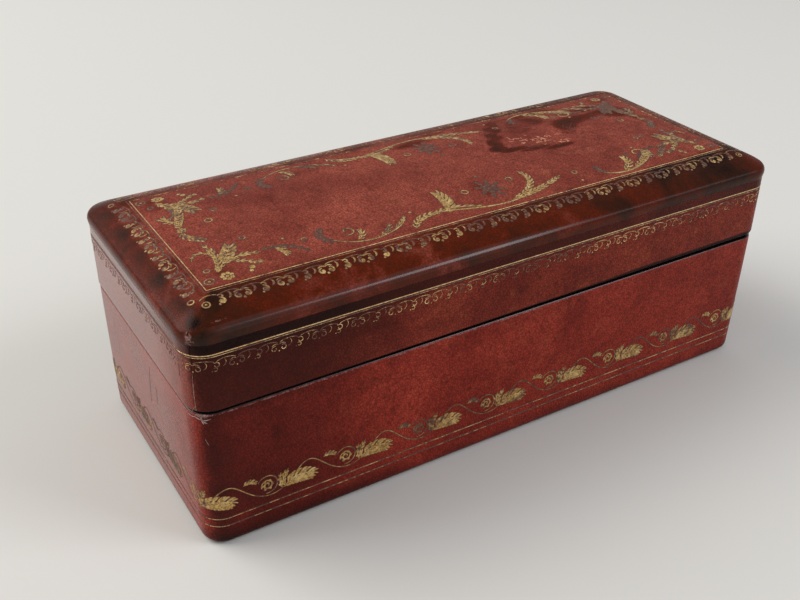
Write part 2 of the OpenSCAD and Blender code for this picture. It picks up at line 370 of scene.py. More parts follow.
def leather_material(name, deep, main, warm, stained, dark, roughness, uneven=0.11, gloss=0.06):
    """Pebbled, mottled leather. The piece's own values steer it: stain (dark), scuffs and painted highlights
    (pale and rough), polish (smooth, under a clear coat) and the left end's painted sheen (paler in the colour,
    and under a clear coat)."""
    g = Graph(name)
    mottle = g.noise(42, 6, 0.62, 0.6)
    patch = g.noise(150, 7, 0.68, 0.4)
    fleck = g.noise(900, 4, 0.7)
    polish, end_sheen = g.value("polish"), g.value("end_sheen")
    body = g.between(mottle, 0.36, 0.66, deep, main)
    body = g.tint(body, patch, 0.55, 0.74, 0.75, warm)
    body = g.tint(body, g.noise(95, 8, 0.7, 1.2), 0.56, 0.75, 0.6, dark)
    body = g.tint(body, g.noise(560, 6, 0.78, 0.8), 0.44, 0.62, 0.62, deep)
    stain = g.total(g.value("stain"), g.span(patch, 0.3, 0.7, -0.6 * uneven, 0.6 * uneven),
                    g.span(g.noise(60, 5, 0.6, 0.8), 0.35, 0.65, -uneven, uneven))
    body = g.tint(body, stain, 0.25, 0.80, 1, stained)
    body = g.tint(body, stain, 0.80, 1.45, 1, dark)
    body = g.tint(body, stain, 1.45, 1.75, 1, BLACKEST_STAIN_AND_GAP_SHADE)
    # Pale scuffs, and painted highlights where a piece's values ask for them
    scuff_and_highlight = g.total(g.value("scuff_and_highlight"), g.span(fleck, 0.3, 0.7, -0.35, 0.35))
    body = g.tint(body, scuff_and_highlight, 0.55, 0.85, 0.75, (0.46, 0.27, 0.24))
    bend = g.add("ShaderNodeMix", {0: 0.0012, 4: g.co, 5: g.noise(500, 3, out="Color")}, 1, data_type="VECTOR")
    crease = g.cells(PEBBLES, bend, "DISTANCE_TO_EDGE")
    body = g.mix(g.span(crease, 0.0, 0.24, 0.54, 0.0), body, rgb(*dark))
    body = g.tint(body, fleck, 0.52, 0.68, 0.45, dark)
    # Painted sheen: the left end paler and pinker in its colour, for the window's grazing reflection
    body = g.tint(body, g.total(end_sheen, g.span(patch, 0.3, 0.7, -0.12, 0.12)), 0.05, 1.0, 0.3,
                  (0.42, 0.150, 0.118))
    height = g.total(g.span(crease, 0, 0.25), g.times(g.noise(2600, 3), 0.35),
                     g.times(g.cells(PEBBLES, bend), -0.3), g.times(g.noise(120, 3), 2.2))
    height = g.times(height, g.span(polish, 0.2, 1.0, 1.0, 0.12))
    coat = g.math("MAXIMUM", g.span(polish, 0.7, 1.0, 0, 0.6), g.times(end_sheen, 0.95))
    rough = g.total(g.span(mottle, 0.3, 0.7, roughness - 0.05, roughness + 0.07),
                    g.span(scuff_and_highlight, 0.5, 0.9, 0, 0.2), g.span(polish, 0, 1, 0, -0.2))
    return g.finish(Base_Color=body, Roughness=rough, Normal=g.bump(height, 0.00009, 0.7),
                    Specular_IOR_Level=gloss, Coat_Weight=coat, Coat_Roughness=0.22)


DARK = (0.024, 0.006, 0.004)
leather_base = leather_material("leather_base", (0.24, 0.022, 0.014), (0.43, 0.052, 0.030),
                                (0.47, 0.080, 0.034), (0.120, 0.012, 0.008), DARK, 0.33)
leather_lid = leather_material("leather_lid", (0.18, 0.022, 0.013), (0.34, 0.052, 0.028),
                               (0.39, 0.080, 0.032), (0.078, 0.011, 0.007), DARK, 0.36)
leather_top = leather_material("leather_top", (0.22, 0.038, 0.025), (0.40, 0.088, 0.056),
                               (0.46, 0.126, 0.064), (0.118, 0.013, 0.003), (0.030, 0.009, 0.004),
                               0.42, uneven=0.34, gloss=0.03)


def ramp(x, low, high):
    """0 below low, 1 above high, and smooth between them."""
    t = np.clip((x - low) / (high - low), 0, 1)
    return t * t * (3 - 2 * t)


def near(p, centre, size):
    """1 at a place, falling to 0 at size from it, in millimetres."""
    return 1 - ramp(np.linalg.norm((p - np.array(centre)) / np.array(size), axis=-1), 0.2, 1.0)


LEFT_END = (98.4, 99.8)       # how far left of the centre the left end's painted sheen starts, and is whole


def skin_attributes(points, stain, scuff_and_highlight, polish, end_sheen=0.0):
    """Values at the points. The last argument is how far the left end is paler, as painted sheen, and glossier
    than the rest.
    """
    flat = points.reshape(-1, 3)
    # painted sheen on the left end, stronger towards the back
    paleness = end_sheen * ramp(-flat[:, 0], *LEFT_END) * (0.4 + 0.6 * ramp(flat[:, 1], -38, -12))
    return {"stain": stain(flat), "scuff_and_highlight": scuff_and_highlight(flat), "polish": polish(flat), "end_sheen": paleness}


BASE_LINES = (6.9, 9.5)       # heights of the tooled lines above the underside
LID_LINES = (16.75, 17.35)    # and above the lid's rim

# The base's band: foot, wall with two tooled grooves, rim, turned in over the boards
foot_out = lean(0.0)
base_profile = [(-TURN_UNDER, LEATHER), (-TURN_UNDER, 0.05), (-TURN_UNDER + 0.1, 0.0)]
base_profile += [(foot_out + o, z) for o, z in arc_pairs(-FOOT_R, FOOT_R, FOOT_R, -90, 0, 9)]
for line in BASE_LINES:
    base_profile += [(o + lean(z), z) for o, z in groove(line, 0.10, 0.9)]
base_profile += [(lean(z), z) for z in np.linspace(11.5, BASE_H - TURN_IN, 18)]
base_profile += arc_pairs(-0.7, BASE_H - 0.7, 0.7, 0, 90, 7)
base_profile += [(-WALL + 0.6, BASE_H), (-WALL + 0.15, BASE_H - 0.15), (-WALL, BASE_H - 0.6)]
base_profile += [(out, BASE_H - TURN_IN) for out in (-WALL, -WALL / 2, -0.9)]
base_profile += [(-LEATHER + 0.02, 30.0), (-LEATHER - 0.3, 8.0), (-LEATHER - 1.8, 1.4), (-5.0, LEATHER)]
base_points = swept(base_profile, LENGTH, WIDTH, RADIUS)


def base_stain(p):
    x, y, z = p[:, 0], p[:, 1], p[:, 2]
    front = ramp(-y, 38, 41)
    foot = 0.58 * (1 - ramp(z, 0, 5.5)) + 0.14 * (1 - ramp(z, 3, 12))
    corner = 0.76 * (1 - ramp(x, -90, -22)) * front + 0.22 * near(p, (100, -41.5, 20), (18, 25, 40))
    # Painted shade round the front left corner
    corner += 0.30 * near(p, (-97, -39, 24), (9, 9, 40))
    spots = 0.35 * near(p, (-42, -41.5, 26), (3, 3, 3)) + 0.3 * near(p, (-78, -41.5, 33), (2.5, 3, 3))
    spots += 0.22 * near(p, (-50, -41.5, 38), (12, 3, 5)) + 0.2 * near(p, (20, -41.5, 34), (9, 3, 6))
    band = 0.16 * (ramp(z, 9, 11) - ramp(z, 19.5, 22))
    # Painted shadow of the gap under the lid: the rim's outer rounded edge goes near-black. The rim top is only
    # darker leather, and the wall a little darker up to the rim.
    edge = 1 - ramp(inset_at(x, y), 1.1, 1.7)
    rim = 0.18 * ramp(z, BASE_H - 3.0, BASE_H - 1.0)
    rim = rim + (0.40 + 1.5 * edge) * ramp(z, BASE_H - 0.35, BASE_H - 0.12)
    return foot + corner + band + rim + spots


def base_scuff(p):
    x, z = p[:, 0], p[:, 2]
    rim = 0.62 * ramp(z, BASE_H - 1.1, BASE_H - 0.7) * (1 - ramp(z, BASE_H - 0.4, BASE_H - 0.15))
    corner = 0.55 * near(p, (-98, -40, BASE_H - 1), (3.0, 3.0, 2.5)) + 0.2 * near(p, (-98, -40, 1), (8, 8, 5))
    return rim * (1 - 0.6 * ramp(x, 0, 60)) + corner


def base_polish(p):
    return 0.95 * ramp(p[:, 2], BASE_H - 1.2, BASE_H - 0.4) + 0.25 * ramp(-p[:, 0], 98, 99.4)


base_skin = make_piece("base_leather", base_points.reshape(-1, 3), grid_faces(len(base_points), RING_N, True),
                       leather_base, "base",
                       skin_attributes(base_points, base_stain, base_scuff, base_polish, 0.7))
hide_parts("base_leather_band")

# The lid's band, in the lid's coordinates
lid_profile = [(-WALL, 0.6), (-WALL + 0.15, 0.12), (-WALL + 0.6, 0.0)]
lid_profile += arc_pairs(-1.1, 1.1, 1.1, -90, 0, 9)
lid_profile += [(0.0, z) for z in np.linspace(2, LID_LINES[0] - 0.8, 10)]
for line in LID_LINES:
    lid_profile += groove(line, 0.09, 0.55)
lid_profile += [(0.0, z) for z in np.linspace(LID_LINES[1] + 0.6, LID_SIDE - SKIRT - 0.4, 4)]
lid_profile += [(-0.12, LID_SIDE - SKIRT - 0.05), (-0.35, LID_SIDE - SKIRT + 0.3)]
lid_profile += [(-LEATHER, LID_SIDE - SKIRT + 0.3), (-LEATHER, 4.0), (-LEATHER - 0.3, 1.2), (-WALL, 1.2)]
lid_points = on_lid(swept(lid_profile, LID_L, LID_W, LID_R))


def lid_stain(p):
    x, y, z = p[:, 0], p[:, 1], p[:, 2]
    front, end = ramp(-y, 36, 41), ramp(-x, 94, 99)
    upper = 0.72 * ramp(z, 60.5, 64)
    left = 0.86 * (1 - ramp(x, -76, -14)) * front
    right = 0.12 * ramp(x, 80, 100)
    row = 0.12 * ramp(z, 54, 56.5) * (1 - ramp(x, 0, 60))
    spots = 0.5 * near(p, (0, -41.5, 53), (4, 3, 3)) + 0.3 * near(p, (-30, -41.5, 51), (7, 3, 4))
    # Painted shadow of the gap between lid and base: the lid's lower rounded edge goes near-black, the band
    # reaching higher towards the right end. The flat mouth inside is only darker leather.
    above_rim = z - BASE_H - RIM_GAP - (x + LENGTH / 2) * math.tan(TILT)
    gap_shade_widening = 0.75 * ramp(x, -60, 90)
    edge = 1 - ramp(inset_at(x, y), 1.2, 1.8)
    mouth_dark_and_gap_shade = (0.40 + 1.5 * edge) * (1 - ramp(above_rim, 0.35 + gap_shade_widening, 0.75 + gap_shade_widening))
    return 0.02 + upper + left + right + row + spots + mouth_dark_and_gap_shade - 0.10 * end


def lid_scuff_and_highlight(p):
    # A pale scuff at the parting line, and a faint painted highlight on the ridge's front left corner
    return 0.5 * near(p, (-99, -40, 46), (2, 2, 3)) + 0.15 * near(p, (-98.5, -39.5, 68.5), (3, 3, 2))


def lid_polish(p):
    z = p[:, 2]
    return 0.45 * ramp(z, 61, 64) + 0.4 * (1 - ramp(z, 46, 47.5))


lid_skin = make_piece("lid_leather", lid_points.reshape(-1, 3), grid_faces(len(lid_points), RING_N, True),
                      leather_lid, "lid",
                      skin_attributes(lid_points, lid_stain, lid_scuff_and_highlight, lid_polish, 1.0))
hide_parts("lid_leather_band")


# The lid's moulded top: a thin skirt, the ridge, the sloping border and the field
def level_ring(out, z):
    return swept([(out, z)], LID_L, LID_W, LID_R)[0]


def inset_level(d, drop):
    """Points of the top's surface at an inset d, or drop below it."""
    return at_height(ring(*inset_ring(d))[0], LID_SIDE + float(rise(d)) - drop)


SKIRT_LOW = LID_SIDE - 3.4
NOSE_TIP = LID_SIDE + NOSE_Z
INSET_STEP = 0.85
insets = np.concatenate([[NOSE_D + 0.4, NOSE_D + 0.9],
                         np.arange(NOSE_D + 1.5, LID_W / 2 - 0.15, INSET_STEP), [LID_W / 2 - 0.12]])
top_rows = [inset_level(d, LEATHER) for d in insets[:2:-3]]
top_rows += [level_ring(-LEATHER, SKIRT_LOW + 1.5), level_ring(-LEATHER, SKIRT_LOW),
             level_ring(-0.1, SKIRT_LOW)]
top_rows += [level_ring(0.02 + (SKIRT_OUT - 0.02) * out, SKIRT_LOW + (NOSE_TIP - SKIRT_LOW) * up)
             for up, out in ((0.0, 0.0), (0.12, 0.1), (0.35, 0.4), (0.6, 0.75), (0.8, 0.93))]
top_rows += [level_ring(SKIRT_OUT - NOSE_R * (1 - math.cos(a)), NOSE_TIP + NOSE_R * math.sin(a))
             for a in np.linspace(0, NOSE_END, 9)]
top_rows += [inset_level(d, 0.0) for d in insets]
top_local = np.concatenate(top_rows)

# Dark, worn patches on the field: x and y from the left and the front, half sizes, and how dark.
# The worn label's surround comes first.
DARK_PATCHES = (
    (135, 65.5, 3.4, 4, 1.1), (132.3, 61, 3.2, 5, 1.3), (128.8, 55.5, 3.0, 5, 1.3), (125.8, 50.5, 3.0, 5, 1.25),
    (123.8, 46, 4, 2.8, 1.3), (128, 43.2, 6.0, 2.3, 1.3), (134.5, 40.8, 8, 1.9, 1.2), (142.5, 38.4, 8, 1.7, 1.1),
    (144, 61, 11, 6.5, 0.84), (139.5, 57, 7, 5, 0.66), (148, 67.5, 16, 2.2, 0.75),
    (161, 54, 12, 4.5, 0.86), (155, 50.5, 6, 4, 0.95), (152.5, 46.5, 4, 3.5, 0.72), (171, 55, 8, 3, 0.75),
    (140, 50, 12, 8, 0.40), (157, 41, 6, 5, 0.42), (180, 53, 10, 6, 0.72), (184, 44, 6, 6, 0.55),
    (178, 32, 5, 4, 0.45), (170, 61, 12, 3, 0.62),
    (105, 24, 5, 7, 0.35), (102, 66, 8, 5, 0.5), (114, 70, 6, 2.5, 0.5),
    (17, 19, 4, 4, 0.4), (17, 64, 6, 6, 0.5), (183, 66, 7, 5, 0.45), (181, 40, 6, 5, 0.35), (60, 62, 9, 3, 0.3),
    (45, 50, 6, 4, 0.25), (88, 30, 10, 4, 0.22), (150, 30, 12, 4, 0.22), (70, 38, 14, 5, 0.18))


def from_corner(p):
    """x and y from the left and the front."""
    return p[:, :2] + (LENGTH / 2, WIDTH / 2)


def top_stain(p):
    at, d = from_corner(p), inset_at(p[:, 0], p[:, 1])
    x, y = at.T
    at_front = (y < 16) & (y < x)
    border = 0.62 + 0.12 * (1 - ramp(d, 2.0, 11)) + 0.34 * ramp(x, 112, 150) - 0.30 * ramp(x, 176, 192)
    border += 0.34 * (1 - ramp(x, 8, 34)) * (y < 16)
    # At the front the border darkens further; the last term is painted shade under the rolled ridge, fading out
    # to the right.
    border += at_front * (0.08 + 0.24 * ramp(x, 142, 158) + 0.24 * ramp(d, 5.5, 7.5)
                          + 0.16 * (1 - ramp(d, 0.1, 1.3)) * (1 - ramp(x, 70, 120)))
    border += (x < 11) * (0.26 * ramp(y, 14, 30) - 0.25 * ramp(d, 5, 7) * ~at_front)
    border += 0.8 * near(at, (3.8, 4.2), (2.4, 3.0)) - 0.42 * near(at, (8.0, 13), (5, 11)) * (x < y)
    for spot_y in (27, 42, 56):
        border += 0.45 * near(at, (3.6, spot_y), (3.0, 6))
    border *= 1 - ramp(d, 11.2, 14.0)
    blotches = [amount * (1 - ramp(np.hypot((x - cx) / sx, (y - cy) / sy), 0.45, 1.2))
                for cx, cy, sx, sy, amount in DARK_PATCHES]
    return np.maximum(border, np.max(blotches, axis=0))


def top_scuff_and_highlight(p):
    flat = p[:, :2]
    # The two spots at the front left corner of the ridge are painted highlights; the rubbed patches are wear.
    corner = 0.78 * near(flat, (-98.9, -40.0), (2.2, 3.2)) + 0.66 * near(flat, (-90.5, -39.4), (4.5, 0.9))
    rubbed = 0.30 * near(flat, (40, 9), (13, 7)) + 0.28 * near(flat, (64, 20), (12, 4))
    return corner + rubbed


def top_polish(p):
    """Gloss of the rolled ridge and of the border, which hands have worn most at the left and the front."""
    d, (x, y) = inset_at(p[:, 0], p[:, 1]), from_corner(p).T
    on_nose = ramp(p[:, 2], LID_SIDE - 1.7, LID_SIDE - 0.9)
    shine = np.where(x < y, 0.30, 0.25 + 0.33 * ramp(x, 2, 12) * (1 - ramp(x, 84, 132)))
    hand_worn = np.maximum(0.31 * (x < y), 0.36 * (1 - ramp(d, 0.0, 0.8)))
    hand_worn = np.maximum(hand_worn, shine * on_nose * (1 - ramp(d, 0.9, 2.2)))
    return 0.45 + hand_worn - 0.45 * ramp(d, 9, 14)


top_skin = make_piece("lid_top_cover", on_lid(top_local), capped(len(top_rows), RING_N), leather_top,
                      "lid", skin_attributes(top_local, top_stain, top_scuff_and_highlight, top_polish))
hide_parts("lid_top_leather")


# ---- tooling: curves in millimetres
def bezier(*points, n=22):
    t = np.linspace(0, 1, n)[:, None]
    a, b, c, d = (np.array(p, dtype=float) for p in points)
    return a * (1 - t) ** 3 + 3 * b * t * (1 - t) ** 2 + 3 * c * t * t * (1 - t) + d * t ** 3


def spiral(cx, cy, r0, r1, a0, a1, n=22):
    t = np.linspace(0, 1, n)
    turn, r = np.radians(a0 + (a1 - a0) * t), r0 + (r1 - r0) * t
    return np.column_stack([cx + r * np.cos(turn), cy + r * np.sin(turn)])


def stroke(points, start, middle, end, wear):
    """A pressed line whose width swells from start to middle and falls to end. wear 0 is full gold."""
    points = np.asarray(points, dtype=float)
    t = np.linspace(0, 1, len(points))
    width = np.where(t < 0.5, start + (middle - start) * np.sin(math.pi * t),
                     end + (middle - end) * np.sin(math.pi * t))
    return points, np.maximum(width, 0.05), wear


def even(points, width, wear):
    """A pressed line of one width."""
    return stroke(points, width, width, width, wear)


def curve(points, start, middle, end, wear, n=22):
    """A pressed line along the curve of four points."""
    return stroke(bezier(*points, n=n), start, middle, end, wear)


def dot(cx, cy, r, wear=0.3):
    return even(spiral(cx, cy, r * 0.45, r * 0.45, 0, 360, 9), r * 1.05, wear)


def ringlet(cx, cy, r, wear=0.35, width=0.42):
    return even(spiral(cx, cy, r, r, 20, 380, 15), width, wear)


def leaf(rib, reach, lobes, wear=0.25, n=22, sides=(1, -1), spread=48, fat=0.31, width=0.5):
    """An acanthus leaf: a rib along the curve of four points, with lobes that curl towards the tip."""
    mid = bezier(*rib, n=n)
    reach = 1.25 * reach
    strokes = [stroke(mid, width * 0.6, width, width * 0.4, wear)]
    step = np.gradient(mid, axis=0)
    step /= np.linalg.norm(step, axis=1)[:, None]
    for i in range(lobes):
        t = (i + 0.55) / lobes * 0.92
        k = min(int(t * (len(mid) - 1)), len(mid) - 2)
        base, ahead = mid[k], step[k]
        size = reach * math.sin(math.pi * (0.16 + 0.74 * t)) ** 0.6
        for side in sides:
            a = math.radians(side * spread * (1.12 - 0.35 * t))
            out = np.array([ahead[0] * math.cos(a) - ahead[1] * math.sin(a),
                            ahead[0] * math.sin(a) + ahead[1] * math.cos(a)])
            lobe = (base, base + out * size * 0.45, base + (out * 0.8 + ahead * 0.2) * size * 0.85,
                    base + (out * 0.62 + ahead * 0.5) * size)
            strokes.append(curve(lobe, size * fat * 0.7, size * fat * 1.25, 0.12, wear, 9))
    return strokes


def rosette(cx, cy, r, petals, wear):
    turn = 2 * math.pi * (np.arange(petals) + 0.25) / petals
    return [dot(cx, cy, r * 0.3, wear)] + [dot(cx + 0.66 * r * math.cos(a), cy + 0.66 * r * math.sin(a),
                                               r * 0.36, wear) for a in turn]


def moved(strokes, change, wear=0.0):
    """The strokes with their points changed, and more or less worn."""
    return [(change(p), w, np.clip(k + wear, 0, 1)) for p, w, k in strokes]


SINK = 0.05                   # how far the strips' edges go into the leather
PRESSED_LIFT, GILT_LIFT, MARK_LIFT = 0.022, 0.05, 0.03     # how far the strips stand up from it


def ribbons(strokes, surface, lift, extra=0.0):
    """Closed thin strips that follow the strokes over a surface: points, faces and wear."""
    strips, faces, wear, count = [], [], [], 0
    shape = ((-1, -SINK), (-0.62, lift), (0.62, lift), (1, -SINK))
    p_all, n_all = surface(np.concatenate([points for points, _, _ in strokes]))
    begin = 0
    for _, width, k in strokes:
        n = len(width)
        p, normal = p_all[begin:begin + n], n_all[begin:begin + n]
        begin += n
        step = np.gradient(p, axis=0)
        across = np.cross(normal, step)
        size = np.linalg.norm(across, axis=1)
        if size.min() < 1e-9:
            continue
        across /= size[:, None]
        half = (width / 2 + extra)[:, None]
        section = [p + across * half * a + normal * h for a, h in shape]
        strips.append(np.stack(section, 1).reshape(-1, 3))
        for i in range(n - 1):
            a, b = count + 4 * i, count + 4 * (i + 1)
            faces += [(a + j, b + j, b + (j + 1) % 4, a + (j + 1) % 4) for j in range(4)]
        last = count + 4 * (n - 1)
        faces += [(count, count + 1, count + 2, count + 3), (last + 3, last + 2, last + 1, last)]
        wear.append(np.repeat(np.broadcast_to(k, (n,)), 4))
        count += 4 * n
    return np.concatenate(strips), faces, np.concatenate(wear)


def gold_material(name, deep, main, bright):
    """Gold leaf, speckled, that chips and wears away to bare brown leather as the strips' wear rises."""
    g = Graph(name)
    fine = g.noise(1500, 4, 0.85)
    chips = g.total(g.noise(620, 5, 0.7, 0.5), g.times(g.noise(90, 3, 0.6), 0.55), g.times(fine, 0.5))
    gone = g.span(g.total(chips, g.value("wear")), 1.31, 1.45)
    tone = g.between(fine, 0.44, 0.58, deep, main)
    tone = g.tint(tone, g.noise(420, 3), 0.5, 0.7, 0.7, bright)
    spent = g.between(fine, 0.52, 0.68, (0.075, 0.022, 0.010), (0.29, 0.155, 0.055))
    return g.finish(Base_Color=g.mix(gone, tone, spent), Metallic=g.span(gone, 0, 1, 0.45, 0.0),
                    Roughness=g.span(gone, 0, 1, 0.36, 0.5), Normal=g.bump(g.noise(1500, 3), 0.00005, 0.7))


def simple_material(name, patches, low, high, a, b, roughness, grain, depth, strength, **more):
    """Two colours in the patches of one noise, over the grain of another: for small marks."""
    g = Graph(name)
    return g.finish(Base_Color=g.between(g.noise(*patches), low, high, a, b), Roughness=roughness,
                    Normal=g.bump(g.noise(*grain), depth, strength), **more)


gold = gold_material("gilding", (0.24, 0.125, 0.035), (0.68, 0.42, 0.12), (0.85, 0.62, 0.26))
# A lighter copy of the gilding for the thin lines: a painted highlight
gold_painted_bright = gold_material("line_gilding", (0.52, 0.30, 0.11), (0.95, 0.66, 0.27), (1.0, 0.80, 0.42))
blind = simple_material("blind_tooling", (500, 5, 0.7), 0.4, 0.62, (0.035, 0.009, 0.005), (0.125, 0.021, 0.011),
                        0.5, (1800, 3), 0.00006, 0.7)


def tooling(name, strokes, surface, body, shadow=0.16, gilding=gold):
    """Gold strips, and darker pressed leather under them, wider by shadow on each side."""
    points, faces, _ = ribbons(strokes, surface, PRESSED_LIFT, shadow)
    make_piece(name + "_pressed", points, faces, blind, body, smooth=False)
    points, faces, wear = ribbons(strokes, surface, GILT_LIFT)
    make_piece(name + "_gilt", points, faces, gilding, body, {"wear": wear}, smooth=False)


# ---- borders of curls
CURL_PITCH = 11.4


def fine_curl(wear):
    """A thin-lined hanging scroll."""
    return [stroke(spiral(0.3, -1.5, 1.0, 0.4, 130, -190, 15), 0.16, 0.3, 0.2, wear),
            stroke(spiral(-0.1, -2.9, 0.75, 0.3, 120, -160, 11), 0.16, 0.26, 0.18, wear),
            dot(-0.9, -3.2, 0.2, wear)]


def mirrored(half):
    """Strokes of a right half, and their mirror image."""
    return moved(half, lambda p: p * (-1, 1)) + half


def fine_pair(wear):
    """Two thin-lined scrolls back to back."""
    return [dot(0, -3.1, 0.24, wear)] + mirrored([
        stroke(spiral(1.2, -2.2, 1.0, 0.35, 110, -220, 15), 0.16, 0.3, 0.2, wear),
        curve(((0.1, -1.0), (0.5, -0.5), (1.3, -0.5), (1.9, -1.1)), 0.14, 0.24, 0.14, wear, 7)])


def single_curl(wear):
    """A small hanging scroll, its top at the origin and about 3.6 mm tall."""
    return [stroke(spiral(0.25, -1.05, 0.8, 0.25, 150, -170, 13), 0.35, 0.62, 0.4, wear),
            stroke(spiral(0.05, -2.55, 1.05, 0.3, 100, -260, 15), 0.4, 0.78, 0.5, wear),
            dot(0.1, -2.5, 0.5, wear), dot(-0.85, -3.5, 0.34, wear)]


def double_curl(wear):
    """Two scrolls back to back over a berry."""
    return [dot(0, -3.35, 0.42, wear), dot(0, -0.75, 0.36, wear)] + mirrored([
        stroke(spiral(1.2, -2.3, 1.05, 0.25, 100, -260, 15), 0.4, 0.72, 0.5, wear), dot(1.2, -2.3, 0.42, wear),
        curve(((0.1, -1.0), (0.5, -0.4), (1.3, -0.4), (2.1, -1.1)), 0.3, 0.55, 0.25, wear, 9)])


def curl_row(length, periods, wear, closed=False, motifs=(single_curl, double_curl)):
    """A border along u from 0 to length: single and double curls hanging from small arches."""
    pitch = length / periods
    strokes = []
    for i in range(2 * periods + (0 if closed else 1)):
        u = i * pitch / 2
        k = wear(u) + rng.uniform(-0.07, 0.07)
        strokes += moved(motifs[i % 2](k), lambda p: p + (u, 0))
        if closed or i < 2 * periods:
            strokes.append(curve(((u + 0.3, -0.35), (u + 1.2, 0.55), (u + pitch / 2 - 1.2, 0.55),
                                  (u + pitch / 2 - 0.3, -0.35)), 0.2, 0.26, 0.2, k + 0.05, 9))
            mid = u + pitch / 4 + (0.35 if i % 2 else -0.35)
            strokes.append(curve(((mid, -0.1), (mid + 0.7, -0.9), (mid + 0.3, -1.9), (mid - 0.5, -2.3)),
                                 0.15, 0.62 if motifs[0] is single_curl else 0.2, 0.12, k, 8))
    return strokes


def outline_length(l, w, r):
    return 2 * (l + w) - 8 * r + 2 * math.pi * r


# Lid's side: two close lines, and the row of curls hanging below them
LID_ROUND = outline_length(LID_L, LID_W, LID_R)
OUTLINE_N = 561               # points of a line round the case
round_lid = np.linspace(0, LID_ROUND, OUTLINE_N)


def front_share(u, round_length, side_length):
    """1 along the front of an outline, falling to 0 round its corners."""
    v = np.mod(np.asarray(u, dtype=float) + 12, round_length) - 12
    return ramp(v, -6, 2) * (1 - ramp(v, side_length - 4, side_length + 4))


def side_wear(u):
    return 0.47 + 0.05 * math.sin(u / 13) - 0.11 * float(front_share(u + 7, LID_ROUND, LID_L))


glint = near(np.column_stack([np.mod(round_lid + 20, LID_ROUND) - 20]), (3,), (16,))
line_wear = 0.62 - 0.38 * front_share(round_lid, LID_ROUND, LID_L) - 0.16 * glint
lid_lines = [even(at_height(round_lid, z), width, line_wear + k)
             for z, width, k in zip(LID_LINES, (0.22, 0.34), (0.16, -0.06))]
tooling("lid_side_lines", lid_lines, lid_wall, "lid", 0.12, gold_painted_bright)
side_row = curl_row(LID_ROUND, round(LID_ROUND / CURL_PITCH), side_wear, True, (fine_curl, fine_pair))
side_row = moved(side_row, lambda p: p * (1, 0.9) + (7.0, LID_LINES[0] - 1.3))
tooling("lid_side_row", side_row, lid_wall, "lid", 0.07, gold_painted_bright)

# Base: two lines and the running vine
BASE_ROUND = outline_length(LENGTH, WIDTH, RADIUS)
round_base = np.linspace(0, BASE_ROUND, OUTLINE_N)
base_lines = [even(at_height(round_base, z), 0.30, k - 0.12 * front_share(round_base, BASE_ROUND, LENGTH))
              for z, k in zip(BASE_LINES, (0.56, 0.50))]
tooling("base_lines", base_lines, base_wall, "base", 0.10, gold_painted_bright)

VINE_UNITS = 23
VINE_PITCH = BASE_ROUND / VINE_UNITS
VINE_START, VINE_Z = 18.1, 16.0


def vine_unit(wear):
    """One repeat: a rosette in a loop at the origin, a sprig, and a fat leaf under an arch, its lobes
    either side of an arched rib and parted by dark veins."""
    t = np.linspace(0, 1, 40)
    wave = -3.75 * np.cos(2 * math.pi * (t - 0.03) - 0.25 * np.sin(2 * math.pi * t))
    return [stroke(spiral(0, 0, 1.9, 0.3, 200, -420, 40), 0.3, 0.62, 0.4, 0.26 + wear),
            *(dot(1.5 * math.cos(a), 1.5 * math.sin(a), 0.5, 0.26 + wear) for a in np.arange(0, 6.2, 1.05)),
            stroke(spiral(0, 0.1, 3.1, 2.9, 150, -100, 26), 0.22, 0.36, 0.22, 0.34 + wear),
            stroke(np.column_stack([t * VINE_PITCH, wave]), 0.26, 0.32, 0.26, 0.38 + wear),
            *leaf(((-6.9, 2.6), (-5.8, 3.5), (-4.4, 3.3), (-3.0, 1.9)), 1.1, 4, 0.32 + wear, 10, fat=0.42),
            *leaf(((4.2, -2.6), (4.3, -0.6), (4.9, 1.2), (6.4, 3.3)), 1.3, 4, 0.27 + wear, 12, fat=0.4),
            *leaf(((4.0, -2.4), (3.7, -0.6), (3.5, 0.8), (4.1, 2.6)), 0.9, 3, 0.30 + wear, 12, fat=0.4),
            *leaf(((4.9, -2.7), (7.4, 0.1), (11.0, 0.3), (15.3, -2.3)), 2.5, 8, 0.25 + wear, 24,
                  spread=62, fat=0.33, width=0.9),
            *leaf(((6.2, -2.2), (8.4, -2.0), (11.0, -2.0), (13.9, -3.0)), 1.5, 6, 0.25 + wear, 14,
                  sides=(-1,), fat=0.42, width=0.7)]


vine = []
for i in range(VINE_UNITS):
    u = VINE_START + i * VINE_PITCH
    extra = 0.13 * (1 - float(front_share(u + 9, BASE_ROUND, LENGTH))) + rng.uniform(-0.05, 0.09)
    vine += moved(vine_unit(extra), lambda p: p + (u, VINE_Z))
tooling("base_vine", vine, base_wall, "base", 0.18)

# Lid's top: the border of curls on the slope. Places on the top are from the left and from the front.
ROW_X, ROW_Y = 8.6, 9.9       # where the arches run
CORNER_X, CORNER_Y = 12.7, 14.5     # where they end


def flip_x(p):
    return p * (-1, 1) + (LENGTH, 0)


def flip_y(p):
    return p * (1, -1) + (0, WIDTH)


def half_turn(p):
    return flip_x(flip_y(p))


def to_front(p):
    """From a row drawn along +x with its outside at -y to the front of the lid's top."""
    return p + (CORNER_X, ROW_Y)


def to_left(p):
    return np.column_stack([ROW_X + p[:, 1], WIDTH - CORNER_Y - p[:, 0]])


